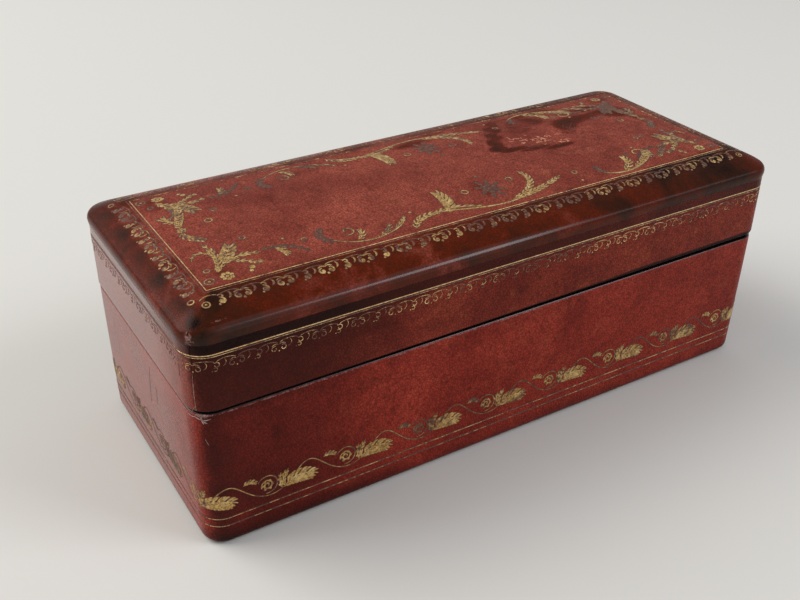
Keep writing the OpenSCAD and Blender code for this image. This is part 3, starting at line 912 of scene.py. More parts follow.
border = []
for length, periods, to_side in ((LENGTH - 2 * CORNER_X, 15, to_front), (WIDTH - 2 * CORNER_Y, 5, to_left)):
    for turned in (False, True):
        if to_side is to_front and not turned:
            row = curl_row(length, periods, lambda u: 0.36 + 0.05 * u / LENGTH)
        else:
            row = curl_row(length, periods, lambda u: 0.40)
        row = moved(row, to_side)
        border += moved(row, half_turn) if turned else row
corner = [ringlet(8.6, 7.4, 0.95, 0.3), dot(8.6, 7.4, 0.4, 0.3), ringlet(5.8, 10.4, 0.8, 0.3),
          curve(((7.6, 9.4), (9, 10.4), (10.6, 10.4), (12.2, 9.7)), 0.25, 0.3, 0.25, 0.3)]
border += corner + moved(corner, flip_y) + moved(corner, flip_x) + moved(corner, half_turn)
tooling("lid_border_row", border, lid_top, "lid")


# The fillet: two close lines round the field, and a thin one outside them
def rectangle(x, y, n=90):
    """Points of the four sides of a rectangle that stands in from the case's outline."""
    ends = ((x, y), (LENGTH - x, y), (LENGTH - x, WIDTH - y), (x, WIDTH - y))
    return [np.linspace(a, b, n) for a, b in zip(ends, ends[1:] + ends[:1])]


fillet = [even(side, width, k) for side, width, k in
          zip(rectangle(10.7, 12.3), (0.36, 0.26, 0.30, 0.28), (0.26, 0.42, 0.42, 0.26))]
fillet += [even(side, 0.18, k) for side, k in zip(rectangle(9.9, 11.5), (0.40, 0.5, 0.5, 0.46))]
tooling("lid_fillet", fillet, lid_top, "lid", 0.10, gold_painted_bright)

# The field: sprays in the corners, scrolls and wings along the sides, a flower at the middle
CENTRE_X = 104.5
FLOWER_X, FLOWER_Y = CENTRE_X + 0.3, 24.0
corner_spray = [
    ringlet(12.9, 15.6, 1.3), dot(12.9, 15.6, 0.45), ringlet(14.2, 20.6, 0.8),
    *rosette(17.9, 15.9, 2.0, 7, 0.12),
    *leaf(((16.4, 18.4), (18.6, 22), (19.8, 28), (18.2, 34.4)), 1.7, 8, 0.30, spread=40),
    *leaf(((18.6, 25.5), (18.4, 30.5), (14.2, 32.0), (12.8, 27.4)), 1.0, 5),
    *leaf(((19.2, 22.3), (21, 24.3), (23.2, 27), (24.3, 30)), 3.0, 5, 0.32, spread=52),
    *leaf(((16.2, 18.8), (19, 23.3), (25.5, 24.6), (30, 22.4)), 1.7, 8),
    dot(25.2, 16.9, 1.0, 0.2), dot(24.4, 15.5, 0.7, 0.2), dot(28.2, 18.4, 0.9, 0.25),
    *leaf(((22, 21.5), (24, 21), (26.5, 19.8), (27.4, 17.4)), 1.2, 4, 0.2, 12),
    *leaf(((30.6, 23.2), (35, 24.2), (40, 21.5), (42.2, 16.6)), 1.3, 7, 0.45),
    *leaf(((34.2, 22.6), (35.6, 21.4), (36.2, 19.6), (35.8, 17.6)), 1.6, 4, 0.2, 12),
    dot(38.1, 26.0, 0.5, 0.2), ringlet(43, 23, 0.8), ringlet(28.8, 31.6, 0.8)]
small_scroll = [
    curve(((49.6, 19.0), (54, 14.4), (60, 13.9), (66, 15.7)), 0.35, 0.6, 0.55, 0.28),
    curve(((66, 15.7), (70, 17.0), (72.6, 18.8), (73.4, 21.8)), 0.55, 0.5, 0.25, 0.28),
    stroke(spiral(55.3, 21.6, 2.3, 0.7, 230, 560, 26), 0.3, 0.6, 0.5, 0.34),
    *leaf(((50.4, 18.2), (46.4, 19.6), (46.8, 24), (49.8, 26.2)), 1.7, 6, 0.50),
    *leaf(((56, 16.4), (57.8, 17), (58.9, 18.8), (58.5, 21)), 1.5, 4, 0.28),
    *leaf(((62.5, 15.4), (65, 16.4), (67, 17.6), (67.6, 19.8)), 1.3, 4, 0.36),
    *leaf(((68, 17.0), (70, 18.0), (72.2, 19.4), (73.5, 21.8)), 1.1, 4, 0.34), dot(76, 22.5, 0.55, 0.2)]
wings = [
    *leaf(((73.2, 14.2), (74.8, 18), (79, 19.6), (84, 18.8)), 1.9, 7, 0.24),
    curve(((80, 19.2), (88, 19.2), (94, 14.9), (CENTRE_X, 14.7)), 0.5, 0.95, 0.7, 0.20),
    *leaf(((86, 17.6), (88.4, 20), (89.6, 25), (88.7, 29.6)), 3.1, 7, 0.18, spread=44),
    *leaf(((82, 18.8), (87, 20.4), (92, 18.6), (97.5, 15.6)), 1.6, 8, 0.15, sides=(1,), fat=0.45),
    ringlet(96.7, 25.5, 1.05, 0.25, 0.5),
    curve(((CENTRE_X, 14.7), (107, 14.7), (112, 15.4), (116, 17)), 0.7, 0.9, 0.5, 0.2),
    *leaf(((107, 15.4), (116, 17.2), (121.4, 23.4), (118.6, 29.6)), 1.9, 10, 0.18, spread=38),
    *leaf(((109, 15.4), (115, 16.4), (122, 18), (128.8, 21.2)), 2.0, 9, 0.20, spread=36),
    ringlet(113.3, 26.3, 1.05, 0.3, 0.5), ringlet(134.2, 20.8, 0.85, 0.35), dot(133.2, 15.6, 0.5, 0.1)]
big_scroll = [
    curve(((142.3, 16.6), (146, 13.3), (152, 13.6), (157, 15.6)), 0.4, 0.95, 0.9, 0.22),
    curve(((157, 15.6), (163, 18), (166.4, 21), (163.0, 24.0)), 0.9, 1.0, 0.5, 0.18),
    curve(((163.0, 24.0), (161, 25.2), (158.8, 23.4), (160.6, 21.4)), 0.5, 0.6, 0.4, 0.2),
    *leaf(((149.5, 14.8), (153.6, 16.8), (155.4, 19.5), (154.4, 23.2)), 2.0, 6, 0.2),
    *leaf(((154, 15.2), (159, 17), (163, 19.4), (163.8, 23)), 1.8, 8, 0.2),
    *leaf(((144.4, 16), (142, 17), (141.4, 19), (142.6, 21)), 1.5, 4, 0.6),
    *leaf(((165.8, 16.8), (167.6, 18.6), (169.6, 20.6), (172.8, 22)), 1.5, 6, 0.3),
    dot(170.4, 18, 0.8, 0.2), ringlet(168.3, 31, 0.8, 0.4)]
centre_flower = rosette(FLOWER_X, FLOWER_Y, 3.0, 6, 0.50) + [dot(105.4, 32.2, 0.7, 0.5)]
for i in range(8):
    a = 2 * math.pi * i / 8 + 0.4
    foot, tip = ((FLOWER_X + x * math.cos(a), FLOWER_Y + y * math.sin(a)) for x, y in ((2.4, 2.8), (4.6, 6.0)))
    centre_flower.append(stroke(np.linspace(foot, tip, 8), 0.5, 1.3, 0.2, 0.56))
end_scroll = [
    *rosette(16.7, 44.6, 1.5, 6, 0.35), *leaf(((16.6, 46), (17.2, 50), (20.4, 53), (20.4, 61)), 2.0, 9, 0.28),
    *leaf(((16.2, 43.4), (15.4, 39.8), (18.8, 38), (20, 35.4)), 1.8, 6, 0.32),
    *leaf(((17.2, 50), (14.6, 51), (14.2, 53.5), (15.6, 55.6)), 1.5, 4, n=12),
    ringlet(25, 45.9, 1.05, 0.25, 0.5)]
along_front = corner_spray + small_scroll + wings + big_scroll + centre_flower
along_front += moved(corner_spray, flip_x, 0.08)
field = along_front + moved(along_front, flip_y, 0.07) + end_scroll + moved(end_scroll, flip_x, 0.1)
tooling("lid_field", field, lid_top, "lid", 0.30)


# ---- marks of age
def marks(name, strokes, surface, body, material, lift=MARK_LIFT):
    points, faces, _ = ribbons(strokes, surface, lift)
    make_piece(name, points, faces, material, body, smooth=False)


def line(a, b, bow=0.0, n=12):
    """Points from a to b, bowed sideways."""
    a, b = np.array(a, dtype=float), np.array(b, dtype=float)
    side = np.array((b[1] - a[1], a[0] - b[0])) * bow
    return bezier(a, a + (b - a) / 3 + side, a + (b - a) * 2 / 3 + side, b, n=n)


fray = simple_material("frayed_fibres", (900, 3), 0.4, 0.65, (0.23, 0.12, 0.095), (0.55, 0.42, 0.37), 0.8,
                       (3000, 2), 0.00005, 0.5)
# Near-black strips in the open seam and the cracks: painted shade of their depth
crevice_shade = simple_material("crevice_shade", (700, 3), 0, 1, (0.004, 0.002, 0.002), (0.016, 0.006, 0.004), 0.7,
                          (2600, 2), 0.00005, 0.5, Specular_IOR_Level=0.1)
rubbed = simple_material("rubbed_leather", (800, 4, 0.7), 0.38, 0.66, (0.30, 0.070, 0.034),
                         (0.66, 0.275, 0.150), 0.55, (2600, 3), 0.00005, 0.6)

# The open seam at the lid's front left corner. Places on a side are the distance round it and the height.
SEAM_U = 1.1
seam_z = np.linspace(20.2, 9.0, 30)
seam = np.column_stack([SEAM_U + 0.12 * np.sin(seam_z * 1.3), seam_z])
marks("lid_seam", [stroke(seam[:10], 0.55, 0.5, 0.35, 0), stroke(seam[9:], 0.3, 0.16, 0.05, 0)], lid_wall,
      "lid", crevice_shade)
seam_turn = (LID_R - SEAM_U) / LID_R
from_centre = LID_R - np.linspace(-0.22, 1.6, 10)
seam_top = np.column_stack([LID_R - from_centre * math.sin(seam_turn) - OVERHANG,
                            LID_R - from_centre * math.cos(seam_turn)])
marks("lid_seam_top", [stroke(seam_top, 0.5, 0.4, 0.05, 0)], lid_top, "lid", crevice_shade)
marks("lid_seam_fibre", [stroke(line((1.15, 12.5), (0.95, 0.8), 0.02, 20), 0.06, 0.15, 0.1, 0),
                         stroke(line((1.1, 2.2), (-0.1, 0.4), 0.1), 0.1, 0.16, 0.05, 0)], lid_wall, "lid", fray)

# The frayed tuft under it: ends, bow and width of each fibre
tuft = [((-0.1, 44.1), (3.1, 43.0), 0.1, 0.34), ((0.9, 44.6), (2.4, 42.6), -0.1, 0.42),
        ((1.6, 43.4), (4.4, 43.7), 0.15, 0.3), ((1.9, 44.3), (2.4, 41.9), 0.1, 0.5),
        ((-0.9, 43.6), (1.7, 43.2), -0.2, 0.2), ((2.1, 43.0), (3.4, 42.2), 0.1, 0.4),
        ((-2.9, 44.2), (0.1, 43.9), 0.1, 0.16)]
marks("base_fray", [stroke(line(a, b, bow), width * 0.5, width, 0.06, 0) for a, b, bow, width in tuft]
      + [stroke(line((2.3, 37.2), (3.2, 35.2), 0.05), 0.06, 0.16, 0.05, 0)], base_wall, "base", fray)

# Cracks in the left end
cracks = [((-5.0, 14.4), (-7.6, 12.0), 0.08, 0.3), ((-7.8, 14.9), (-10.4, 12.7), -0.06, 0.26),
          ((-5.4, 12.6), (-6.4, 11.2), 0.1, 0.24), ((-3.4, 13.2), (-3.9, 9.4), 0.05, 0.2)]
marks("lid_cracks", [stroke(line(a, b, bow), 0.06, width, 0.06, 0) for a, b, bow, width in cracks], lid_wall,
      "lid", crevice_shade)
marks("base_crack", [stroke(line((-31.6, 40.6), (-34.7, 26.9), 0.03, 24), 0.1, 0.24, 0.06, 0),
                     stroke(line((-28.0, 36.0), (-28.8, 29.5), -0.03), 0.06, 0.14, 0.05, 0)],
      base_wall, "base", crevice_shade)

# The worn label on the lid: dark crazing round a patch rubbed pale, with no lettering
label_rng = np.random.default_rng(21)
uniform, normal = label_rng.uniform, label_rng.normal


def scratch(x, y, turn, reach, bow, widths, start, end):
    """A short stroke with a random length, bow and width."""
    size = uniform(*reach)
    points = line((x, y), (x + size * math.cos(turn), y + size * math.sin(turn)), uniform(-bow, bow), 8)
    return stroke(points, start, uniform(*widths), end, 0)


rubs, crazes = [], []
for k in range(46):
    t = uniform(0, 1)
    x, y = 132 + 16 * t + normal(0, 1.4), 50 - 9 * t + normal(0, 2.0)
    turn = uniform(-0.5, 0.9) if k % 3 else uniform(1.2, 2.2)
    rubs.append(scratch(x, y, turn, (0.7, 2.4), 0.4, (0.4, 0.85), 0.15, 0.08))
for _ in range(38):
    t = uniform(0, 2 * math.pi)
    x, y = 141 + 14.5 * math.cos(t) + normal(0, 1.5), 51.5 + 11 * math.sin(t) + normal(0, 1.5)
    crazes.append(scratch(x, y, t + math.pi / 2 + normal(0, 0.5), (1.5, 4.5), 0.3, (0.2, 0.45), 0.1, 0.06))
marks("label_rubs", rubs, lid_top, "lid", rubbed, 0.02)
marks("label_crazing", crazes, lid_top, "lid", blind, 0.02)


# ---- soft forms
def soft_block(low, high, radius, step):
    """Points and faces of a closed box with rounded edges, divided about every step millimetres."""
    low, high = np.array(low, dtype=float), np.array(high, dtype=float)
    radius = min(radius, (high - low).min() / 2 - 0.01)
    axes = []
    for a, b in zip(low, high):
        inner = np.linspace(a + radius, b - radius, max(int(round((b - a - 2 * radius) / step)), 1) + 1)
        edge = radius * (1 - np.array([1.0, 0.6, 0.25]))
        axes.append(np.concatenate([a + edge, inner, (b - edge)[::-1]]))
    index, points, faces = {}, [], []

    def corner(key):
        if key not in index:
            index[key] = len(points)
            points.append([axes[k][key[k]] for k in range(3)])
        return index[key]

    for axis in range(3):
        u, v = (axis + 1) % 3, (axis + 2) % 3
        for side in (0, len(axes[axis]) - 1):
            for i in range(len(axes[u]) - 1):
                for j in range(len(axes[v]) - 1):
                    loop = []
                    for di, dj in ((0, 0), (1, 0), (1, 1), (0, 1)):
                        key = [0, 0, 0]
                        key[axis], key[u], key[v] = side, i + di, j + dj
                        loop.append(corner(tuple(key)))
                    faces.append(tuple(loop if side else loop[::-1]))
    p = np.array(points)
    core = np.clip(p, low + radius, high - radius)
    away = p - core
    size = np.linalg.norm(away, axis=1)[:, None]
    return core + radius * away / np.maximum(size, 1e-9), faces


def scratch_object(points, faces):
    """A mesh object for a modifier to work on."""
    return placed("scratch", new_mesh("scratch", points, faces))


def evaluated(piece):
    """Points in millimetres and faces of a mesh object, modifiers included. The object is removed."""
    done = piece.evaluated_get(bpy.context.evaluated_depsgraph_get())
    mesh = done.to_mesh()
    points = np.empty(3 * len(mesh.vertices))
    mesh.vertices.foreach_get("co", points)
    faces = [tuple(polygon.vertices) for polygon in mesh.polygons]
    done.to_mesh_clear()
    bpy.data.objects.remove(piece)
    return points.reshape(-1, 3) / MM, faces


SIM_SCALE = 5.0          # the pads are simulated at this many times their size
SIM_FRAMES = 20
SIM_PRESSURE = 4.0


def puffed(points, faces, voxel, cap, low, high, pinned=None):
    """A closed form remeshed, swollen by a cloth simulation by cap at most, and kept within a box."""
    piece = scratch_object(points, faces)
    remesh = piece.modifiers.new("remesh", "REMESH")
    remesh.mode = "VOXEL"
    remesh.voxel_size = voxel * MM
    start, faces = evaluated(piece)
    swollen = start
    piece = scratch_object(start * SIM_SCALE, faces)
    cloth = piece.modifiers.new("cloth", "CLOTH")
    settings = cloth.settings
    settings.use_pressure = True
    settings.uniform_pressure_force = SIM_PRESSURE
    settings.effector_weights.gravity = 0
    settings.quality = 4
    cloth.point_cache.frame_end = SIM_FRAMES
    if pinned is not None:
        group = piece.vertex_groups.new(name="pinned")
        for i, weight in enumerate(pinned(start)):
            if weight > 0:
                group.add([i], float(weight), "REPLACE")
        settings.vertex_group_mass = "pinned"
    for frame_number in range(1, SIM_FRAMES + 1):
        scene.frame_set(frame_number)
    swollen, faces = evaluated(piece)
    swollen = swollen / SIM_SCALE
    scene.frame_set(1)
    move = swollen - start
    size = np.linalg.norm(move, axis=1)[:, None]
    swollen = start + move * np.minimum(1, cap / np.maximum(size, 1e-9))
    piece = scratch_object(np.clip(swollen, low, high), faces)
    piece.modifiers.new("smooth", "SUBSURF").levels = 1
    return evaluated(piece)


# ---- inside and hardware: materials
def velvet_material():
    """Brushed pile: broad patches where the nap lies over, fine speckle, and worn, paler edges."""
    g = Graph("velvet_pile")
    nap = g.noise(48, 4, 0.6, 1.6)
    speckle = g.noise(3800, 2, 0.7)
    colour = g.between(nap, 0.38, 0.62, (0.085, 0.005, 0.012), (0.185, 0.012, 0.024))
    colour = g.tint(colour, speckle, 0.42, 0.70, 0.55, (0.30, 0.035, 0.05))
    colour = g.tint(colour, g.noise(16, 5, 0.7), 0.56, 0.72, 0.35, (0.060, 0.010, 0.010))
    worn = g.total(g.value("worn"), g.span(g.noise(420, 5, 0.7), 0.3, 0.7, -0.3, 0.3))
    colour = g.tint(colour, worn, 0.45, 0.95, 0.7, (0.33, 0.13, 0.11))
    return g.finish(Base_Color=colour, Roughness=0.92, Specular_IOR_Level=0.12, Sheen_Weight=0.5,
                    Sheen_Roughness=0.3, Sheen_Tint=rgb(0.9, 0.32, 0.36),
                    Normal=g.bump(g.total(g.times(nap, 2.5), speckle), 0.00022, 0.6))


def satin_material():
    """Smooth threads one way, faint wrinkles, and the brown spots of age."""
    g = Graph("satin_weave")
    threads = g.noise(520, 2, 0.6, vector=g.stretch((0.5, 9, 9)))
    cross = g.noise(700, 2, 0.5, vector=g.stretch((9, 0.6, 0.6)))
    colour = g.between(g.noise(34, 5, 0.6, 0.8), 0.36, 0.64, (0.40, 0.26, 0.115), (0.58, 0.42, 0.215))
    colour = g.tint(colour, threads, 0.35, 0.68, 0.45, (0.70, 0.55, 0.32))
    colour = g.tint(colour, g.noise(150, 6, 0.75), 0.62, 0.74, 0.55, (0.24, 0.13, 0.055))
    colour = g.tint(colour, g.value("worn"), 0.1, 1.0, 0.6, (0.20, 0.115, 0.055))
    height = g.total(g.times(threads, 0.8), g.times(cross, 0.5), g.times(g.noise(95, 4, 0.55, 0.6), 6.0))
    return g.finish(Base_Color=colour, Roughness=g.span(threads, 0.3, 0.7, 0.30, 0.44), Specular_IOR_Level=0.45,
                    Sheen_Weight=0.18, Sheen_Roughness=0.4, Anisotropic=0.35,
                    Normal=g.bump(height, 0.00007, 0.8))


def felt_material():
    """Dark pressed felt: matted fibres, dusty patches and pale specks of lint."""
    g = Graph("felt_fibres")
    fibres = g.noise(1500, 5, 0.75, 2.2)
    colour = g.between(fibres, 0.36, 0.64, (0.016, 0.006, 0.005), (0.060, 0.022, 0.017))
    colour = g.tint(colour, g.noise(28, 5, 0.65), 0.5, 0.72, 0.6, (0.085, 0.045, 0.036))
    colour = g.tint(colour, g.noise(2600, 2, 0.8), 0.66, 0.74, 0.7, (0.26, 0.21, 0.18))
    return g.finish(Base_Color=colour, Roughness=0.97, Specular_IOR_Level=0.1, Sheen_Weight=0.22,
                    Sheen_Roughness=0.5, Normal=g.bump(fibres, 0.00025, 0.8))


def wood_material(name, along_grain):
    """Plain poplar: long fibres, soft growth bands and pores."""
    g = Graph(name)
    fibres = g.noise(260, 6, 0.65, 0.4, vector=g.stretch(along_grain))
    bands = g.noise(46, 3, 0.5, 1.4, vector=g.stretch(along_grain))
    pores = g.noise(1500, 2, 0.6, vector=g.stretch(along_grain))
    colour = g.between(bands, 0.35, 0.65, (0.36, 0.215, 0.098), (0.52, 0.35, 0.185))
    colour = g.tint(colour, fibres, 0.4, 0.7, 0.5, (0.62, 0.45, 0.26))
    colour = g.tint(colour, pores, 0.60, 0.72, 0.6, (0.16, 0.085, 0.038))
    return g.finish(Base_Color=colour, Roughness=g.span(fibres, 0.3, 0.7, 0.55, 0.75),
                    Normal=g.bump(g.total(fibres, g.times(pores, -0.6)), 0.00012, 0.7))


def brass_material(name, light, dark):
    """Old lacquered brass: brown tarnish in patches, bright rubbed spots, fine scratches."""
    g = Graph(name)
    tarnish = g.noise(260, 6, 0.68, 0.5)
    scratches = g.noise(900, 3, 0.6, vector=g.stretch((0.15, 1.6, 3.0)))
    colour = g.between(tarnish, 0.40, 0.62, light, dark)
    colour = g.tint(colour, g.noise(700, 4, 0.7), 0.60, 0.75, 0.7, (0.065, 0.045, 0.028))
    colour = g.tint(colour, scratches, 0.62, 0.74, 0.6, (0.86, 0.68, 0.36))
    rough = g.total(g.span(tarnish, 0.35, 0.65, 0.26, 0.50), g.span(scratches, 0.55, 0.75, 0, 0.08))
    return g.finish(Base_Color=colour, Metallic=1.0, Roughness=rough,
                    Normal=g.bump(g.total(g.times(scratches, 0.7), tarnish), 0.00004, 0.7))


velvet, satin, felt = velvet_material(), satin_material(), felt_material()
wood_long, wood_short = wood_material("poplar_long", (0.07, 1, 1)), wood_material("poplar_short", (1, 0.07, 1))
brass = brass_material("aged_brass", (0.66, 0.46, 0.18), (0.27, 0.155, 0.062))
screw_brass = brass_material("screw_brass", (0.40, 0.27, 0.11), (0.13, 0.080, 0.040))
for name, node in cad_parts.items():
    if "screws" in name:
        finish = screw_brass
    elif "hinge" in name:
        finish = brass
    elif "board" in name:
        finish = wood_short if "left" in name or "right" in name else wood_long
    else:
        continue
    for used in node.material_slots:
        used.material = finish


# ---- inside: pads, panels and rolls
def node_box(node):
    low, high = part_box(node)
    return np.array(low) / MM, np.array(high) / MM


def edge_wear(p, top, reach, amount):
    """Wear that rises towards the top edge of a piece."""
    return amount * ramp(p[:, 2], top - reach, top)


def panel(name, node, inward, material, body, crown):
    """A thin lining panel: cloth over card, its edges rounded and its face slightly padded."""
    low, high = node_box(node) if body == "base" else LID_PANELS[node]
    p, faces = soft_block(low + 0.03, high - 0.03, 0.62, 3.0)
    inward = np.array(inward, dtype=float)
    face = np.abs(p - np.where(inward > 0, high, low)) @ np.abs(inward) < 0.7
    spread = 1 - np.max([(np.abs(2 * (p[:, k] - low[k]) / (high[k] - low[k]) - 1) ** 6) * (inward[k] == 0)
                         for k in range(3)], axis=0)
    p = p + inward * (crown * spread * face)[:, None]
    worn = edge_wear(p, high[2], 2.2, 0.85) if body == "base" else 0.8 * (1 - ramp(p[:, 2], 1, 4))
    piece = make_piece(name, p if body == "base" else on_lid(p), faces, material, body, {"worn": worn})
    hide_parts(node)


ROOM_L, ROOM_W = LID_L / 2 - WALL, LID_W / 2 - WALL
CARD = 1.5
PANEL_LOW, PANEL_HIGH = 0.8, 21.2
# The linings' boxes in the lid's own coordinates, because the lid is tilted
LID_PANELS = {"lid_lining_" + side: (np.array([x0, y0, PANEL_LOW]), np.array([x1, y1, PANEL_HIGH]))
              for side, x0, y0, x1, y1 in (("front", -ROOM_L, -ROOM_W, ROOM_L, CARD - ROOM_W),
                                           ("back", -ROOM_L, ROOM_W - CARD, ROOM_L, ROOM_W),
                                           ("left", -ROOM_L, CARD - ROOM_W, CARD - ROOM_L, ROOM_W - CARD),
                                           ("right", ROOM_L - CARD, CARD - ROOM_W, ROOM_L, ROOM_W - CARD))}
for side, inward in (("front", (0, 1, 0)), ("back", (0, -1, 0)), ("left", (1, 0, 0)), ("right", (-1, 0, 0))):
    panel("tray_panel_" + side, "base_lining_" + side, inward, velvet, "base", 0.3)
    panel("lid_panel_" + side, "lid_lining_" + side, inward, satin, "lid", 0.2)


def filling(points, low, high, axes):
    """The points stretched to reach both sides of a box along some axes."""
    for k in axes:
        a, b = points[:, k].min(), points[:, k].max()
        points[:, k] = low[k] + (points[:, k] - a) * (high[k] - low[k]) / (b - a)
    return points


# The open tray's floor pad, swollen by simulation
low, high = node_box("base_floor_pad")
start, faces = soft_block(low + (0.25, 0.25, 0.05), high - (0.25, 0.25, 1.3), 1.6, 3.0)
points, faces = puffed(start, faces, 2.5, 1.9, low, high + (0, 0, 0.9))
points = filling(points, low, high, (0, 1))
worn = 0.30 * near(points[:, :2], (-35, 4), (46, 24)) + 0.25 * near(points[:, :2], (-70, -20), (18, 12))
tray_pad = make_piece("tray_pad", points, faces, velvet, "base", {"worn": worn})
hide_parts("base_floor_pad")

# The divider: velvet over board, its top edge rounded and rubbed
low, high = node_box("divider")
points, faces = soft_block(low + (0.02, 0.03, 0.03), high - (0.02, 0.03, 0.03), 1.12, 2.5)
divider = make_piece("divider_velvet", points, faces, velvet, "base",
                     {"worn": edge_wear(points, high[2], 2.6, 1.0)})
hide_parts("divider")

# The ring bed rises in soft ridges between the rolls
low, high = node_box("ring_bed")
points, faces = soft_block(low + 0.05, high - (0.05, 0.05, 0.1), 0.8, 1.5)
ROLLS = 5
roll_boxes = [node_box("ring_roll_%d" % i) for i in range(1, ROLLS + 1)]
roll_x = np.array([(a[0] + b[0]) / 2 for a, b in roll_boxes])
pitch = roll_x[1] - roll_x[0]
from_gap = np.abs(np.mod(points[:, 0] - roll_x[0], pitch) - pitch / 2)
between = (points[:, 0] > roll_x[0]) & (points[:, 0] < roll_x[-1]) & (points[:, 2] > high[2] - 0.5)
ends = 1 - (np.abs(points[:, 1]) / high[1]) ** 8
points[:, 2] += np.where(between, 1.25 * np.cos(np.clip(from_gap / 4, 0, 1) * math.pi / 2) ** 2 * ends, 0)
bed = make_piece("ring_bed_velvet", points, faces, velvet, "base", {"worn": np.zeros(len(points))})
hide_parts("ring_bed")

# The ring rolls: stuffed tubes, each a little uneven
ROLL_RINGS, ROLL_SIDES = 34, 32
for i, (low, high) in enumerate(roll_boxes):
    centre, r = (low + high) / 2, (high[0] - low[0]) / 2
    ys = np.linspace(low[1] + 0.15, high[1] - 0.15, ROLL_RINGS)[:, None]
    turn = np.linspace(0, 2 * math.pi, ROLL_SIDES, endpoint=False)
    swell = sum(rng.uniform(0.02, 0.07) * np.sin(ys * k / 11 + rng.uniform(0, 6)) for k in (1, 2, 3))
    radius = (r - 0.42) * (1 - 0.22 * (np.abs(ys) / high[1]) ** 14) + swell
    tube = np.stack([centre[0] + radius * np.cos(turn), np.repeat(ys, ROLL_SIDES, 1),
                     centre[2] + radius * np.sin(turn)], 2)
    points, faces = puffed(tube.reshape(-1, 3), capped(ROLL_RINGS, ROLL_SIDES), 1.7, 0.55, low, high)
    points = filling(points, low + (0, 0.05, 0), high - (0, 0.05, 0), (1,))
    roll = make_piece("ring_pad_%d" % (i + 1), points, faces, velvet, "base",
                      {"worn": edge_wear(points, high[2], 1.6, 0.5)})
    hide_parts("ring_roll_%d" % (i + 1))

# The lid's quilted pad, buttoned in a diamond pattern
TUFT_X, TUFT_Y = 23.0, 17.0
tufts = [(x * TUFT_X, 0.0) for x in np.arange(-3.5, 4)]
tufts += [(x * TUFT_X, sy * TUFT_Y) for sy in (-1, 1) for x in range(-3, 4)]
tufts = np.array(tufts)
seams = [(a, b) for i, a in enumerate(tufts) for b in tufts[i + 1:]
         if abs(abs(a[0] - b[0]) - TUFT_X / 2) < 1 and abs(a[1] - b[1]) > 1]
seams += [(a, a + (sx * TUFT_X / 2, sy * TUFT_Y)) for a in tufts for sx in (-1, 1) for sy in (-1, 1)
          if sy * a[1] > 1 or (abs(a[0]) > 3.4 * TUFT_X and sx * a[0] > 0)]
PAD_ROOM = WALL + CARD + 0.2
PAD_LOW = 17.7
PAD_MIDDLE = 19.5             # below this is the underside, which shows
pad_high = np.array([LID_L / 2 - PAD_ROOM, LID_W / 2 - PAD_ROOM, PANEL_HIGH])
pad_low = np.array([-pad_high[0], -pad_high[1], PAD_LOW])


def from_tuft(p):
    """Distance to the nearest button."""
    return np.min(np.linalg.norm(p[:, None, :2] - tufts[None], axis=2), axis=1)


def from_seam(p):
    """Distance to the nearest sewn line between two buttons."""
    best = np.full(len(p), 1e3)
    for a, b in seams:
        t = np.clip((p[:, :2] - a) @ (b - a) / ((b - a) @ (b - a)), 0, 1)
        best = np.minimum(best, np.linalg.norm(p[:, :2] - a - t[:, None] * (b - a), axis=1))
    return best


start, faces = soft_block(pad_low + (0.3, 0.3, 0.9), pad_high - (0.3, 0.3, 0.1), 1.1, 2.5)
start[:, 2] += np.where(start[:, 2] < PAD_MIDDLE, 1.1 * np.exp(-(from_tuft(start) / 3.0) ** 2), 0)
points, faces = puffed(start, faces, 2.0, 2.2, pad_low - (0, 0, 1.2), pad_high,
                       pinned=lambda p: np.clip(1.3 - from_tuft(p) / 2.6, 0, 1))
points = filling(points, pad_low, pad_high, (0, 1))
under = points[:, 2] < PAD_MIDDLE + 0.3
points[:, 2] += np.where(under, 0.95 * np.exp(-(from_seam(points) / 1.1) ** 2)
                         + 0.8 * np.exp(-(from_tuft(points) / 1.8) ** 2), 0)
points[:, 2] = np.minimum(points[:, 2], pad_high[2])
# The satin is darker along the sewn lines of the underside
lid_pad = make_piece("lid_pad", on_lid(points), faces, satin, "lid",
                     {"worn": 0.55 * np.exp(-(from_seam(points) / 1.0) ** 2) * under})
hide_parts("lid_ceiling_pad")

BUTTON_SIDES = 16
BUTTON = ((1.2, 19.6), (2.05, 19.15), (2.15, 18.85), (1.75, 18.45), (1.0, 18.22), (0.35, 18.14))
turn = np.linspace(0, 2 * math.pi, BUTTON_SIDES, endpoint=False)
one_button = np.concatenate([at_height(r * np.column_stack([np.cos(turn), np.sin(turn)]), z)
                             for r, z in BUTTON])
button_points = np.concatenate([one_button + (x, y, 0) for x, y in tufts])
button_faces = [tuple(k + i * len(one_button) for k in face) for i in range(len(tufts))
                for face in capped(len(BUTTON), BUTTON_SIDES, downward=True)]
make_piece("lid_pad_buttons", on_lid(button_points), button_faces, satin, "lid",
           {"worn": np.full(len(button_points), 0.25)})

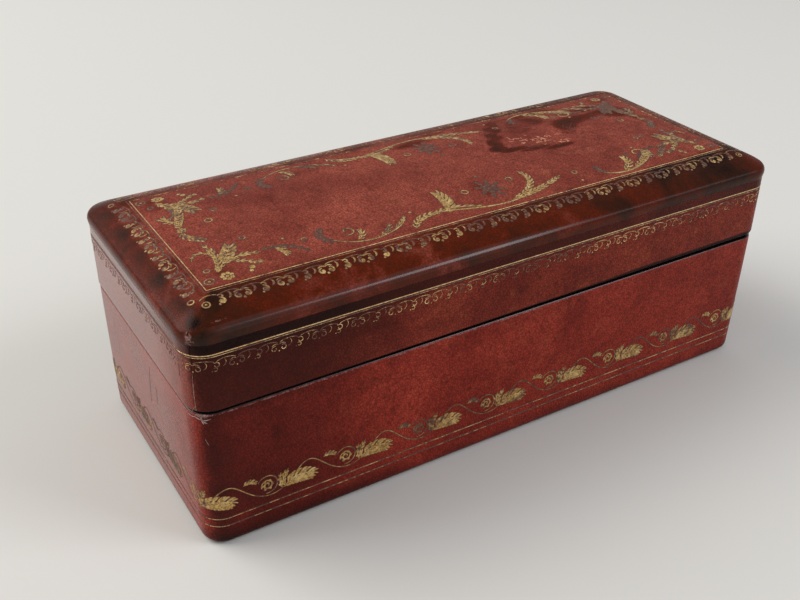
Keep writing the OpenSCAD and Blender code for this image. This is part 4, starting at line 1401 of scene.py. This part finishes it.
# The felt under the base
low, high = node_box("base_underside_cover")
felt_rows = [at_height(ring(2 * (high[0] - d), 2 * (high[1] - d), 1.2)[0], z)
             for d, z in ((0.9, 0.97), (0.1, 0.97), (0.0, 0.8), (0.0, 0.25), (0.15, 0.06), (0.5, 0.0))]
cover = make_piece("underside_felt", np.concatenate(felt_rows), capped(len(felt_rows), RING_N, downward=True),
                   felt, "base", smooth=False)
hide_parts("base_underside_cover")

# ---- stage
CAMERA_AT = Vector((-0.1620, -0.2386, 0.2019))
CAMERA_AIM = Vector((0.01307, 0.0460, 0.0))
CAMERA_ROLL = 0.01247
CAMERA_LENS = 45.92

camera_data = bpy.data.cameras.new("camera")
camera_data.lens = CAMERA_LENS
camera_data.sensor_width = 36.0
camera_data.clip_start = 0.01
camera = placed("camera", camera_data)
look = (CAMERA_AIM - CAMERA_AT).to_track_quat("-Z", "Y").to_matrix().to_4x4()
camera.matrix_world = Matrix.Translation(CAMERA_AT) @ look @ Matrix.Rotation(CAMERA_ROLL, 4, "Z")
scene.camera = camera

FLOOR = 12000.0
floor_mesh = new_mesh("floor", [(-FLOOR, -FLOOR, 0), (FLOOR, -FLOOR, 0), (FLOOR, FLOOR, 0), (-FLOOR, FLOOR, 0)],
                      [(0, 1, 2, 3)])
floor_mesh.materials.append(
    Graph("floor").finish(Base_Color=rgb(0.67, 0.655, 0.615), Roughness=0.9, Specular_IOR_Level=0.2))
floor = placed("floor", floor_mesh)
floor.location.z = -0.1 * MM              # just clear of the case's underside


def area_light(name, position, target, size, power, colour):
    data = bpy.data.lights.new(name, "AREA")
    data.shape = "SQUARE"
    data.size = size
    data.energy = power
    data.color = colour
    light = placed(name, data)
    light.location = position
    light.rotation_euler = (Vector(target) - Vector(position)).to_track_quat("-Z", "Y").to_euler()


area_light("window", (-1.05, 0.85, 1.3), (-0.05, 0.05, 0.03), 1.4, 27, (1.0, 0.98, 0.95))
area_light("front_window", (0.95, -0.95, 1.12), (0, 0, 0.03), 0.75, 11, (0.93, 0.94, 1.0))

world = bpy.data.worlds.new("studio")
world.use_nodes = True
background = world.node_tree.nodes["Background"]
background.inputs["Color"].default_value = rgb(0.85, 0.87, 0.9)
background.inputs["Strength"].default_value = 0.50
scene.world = world
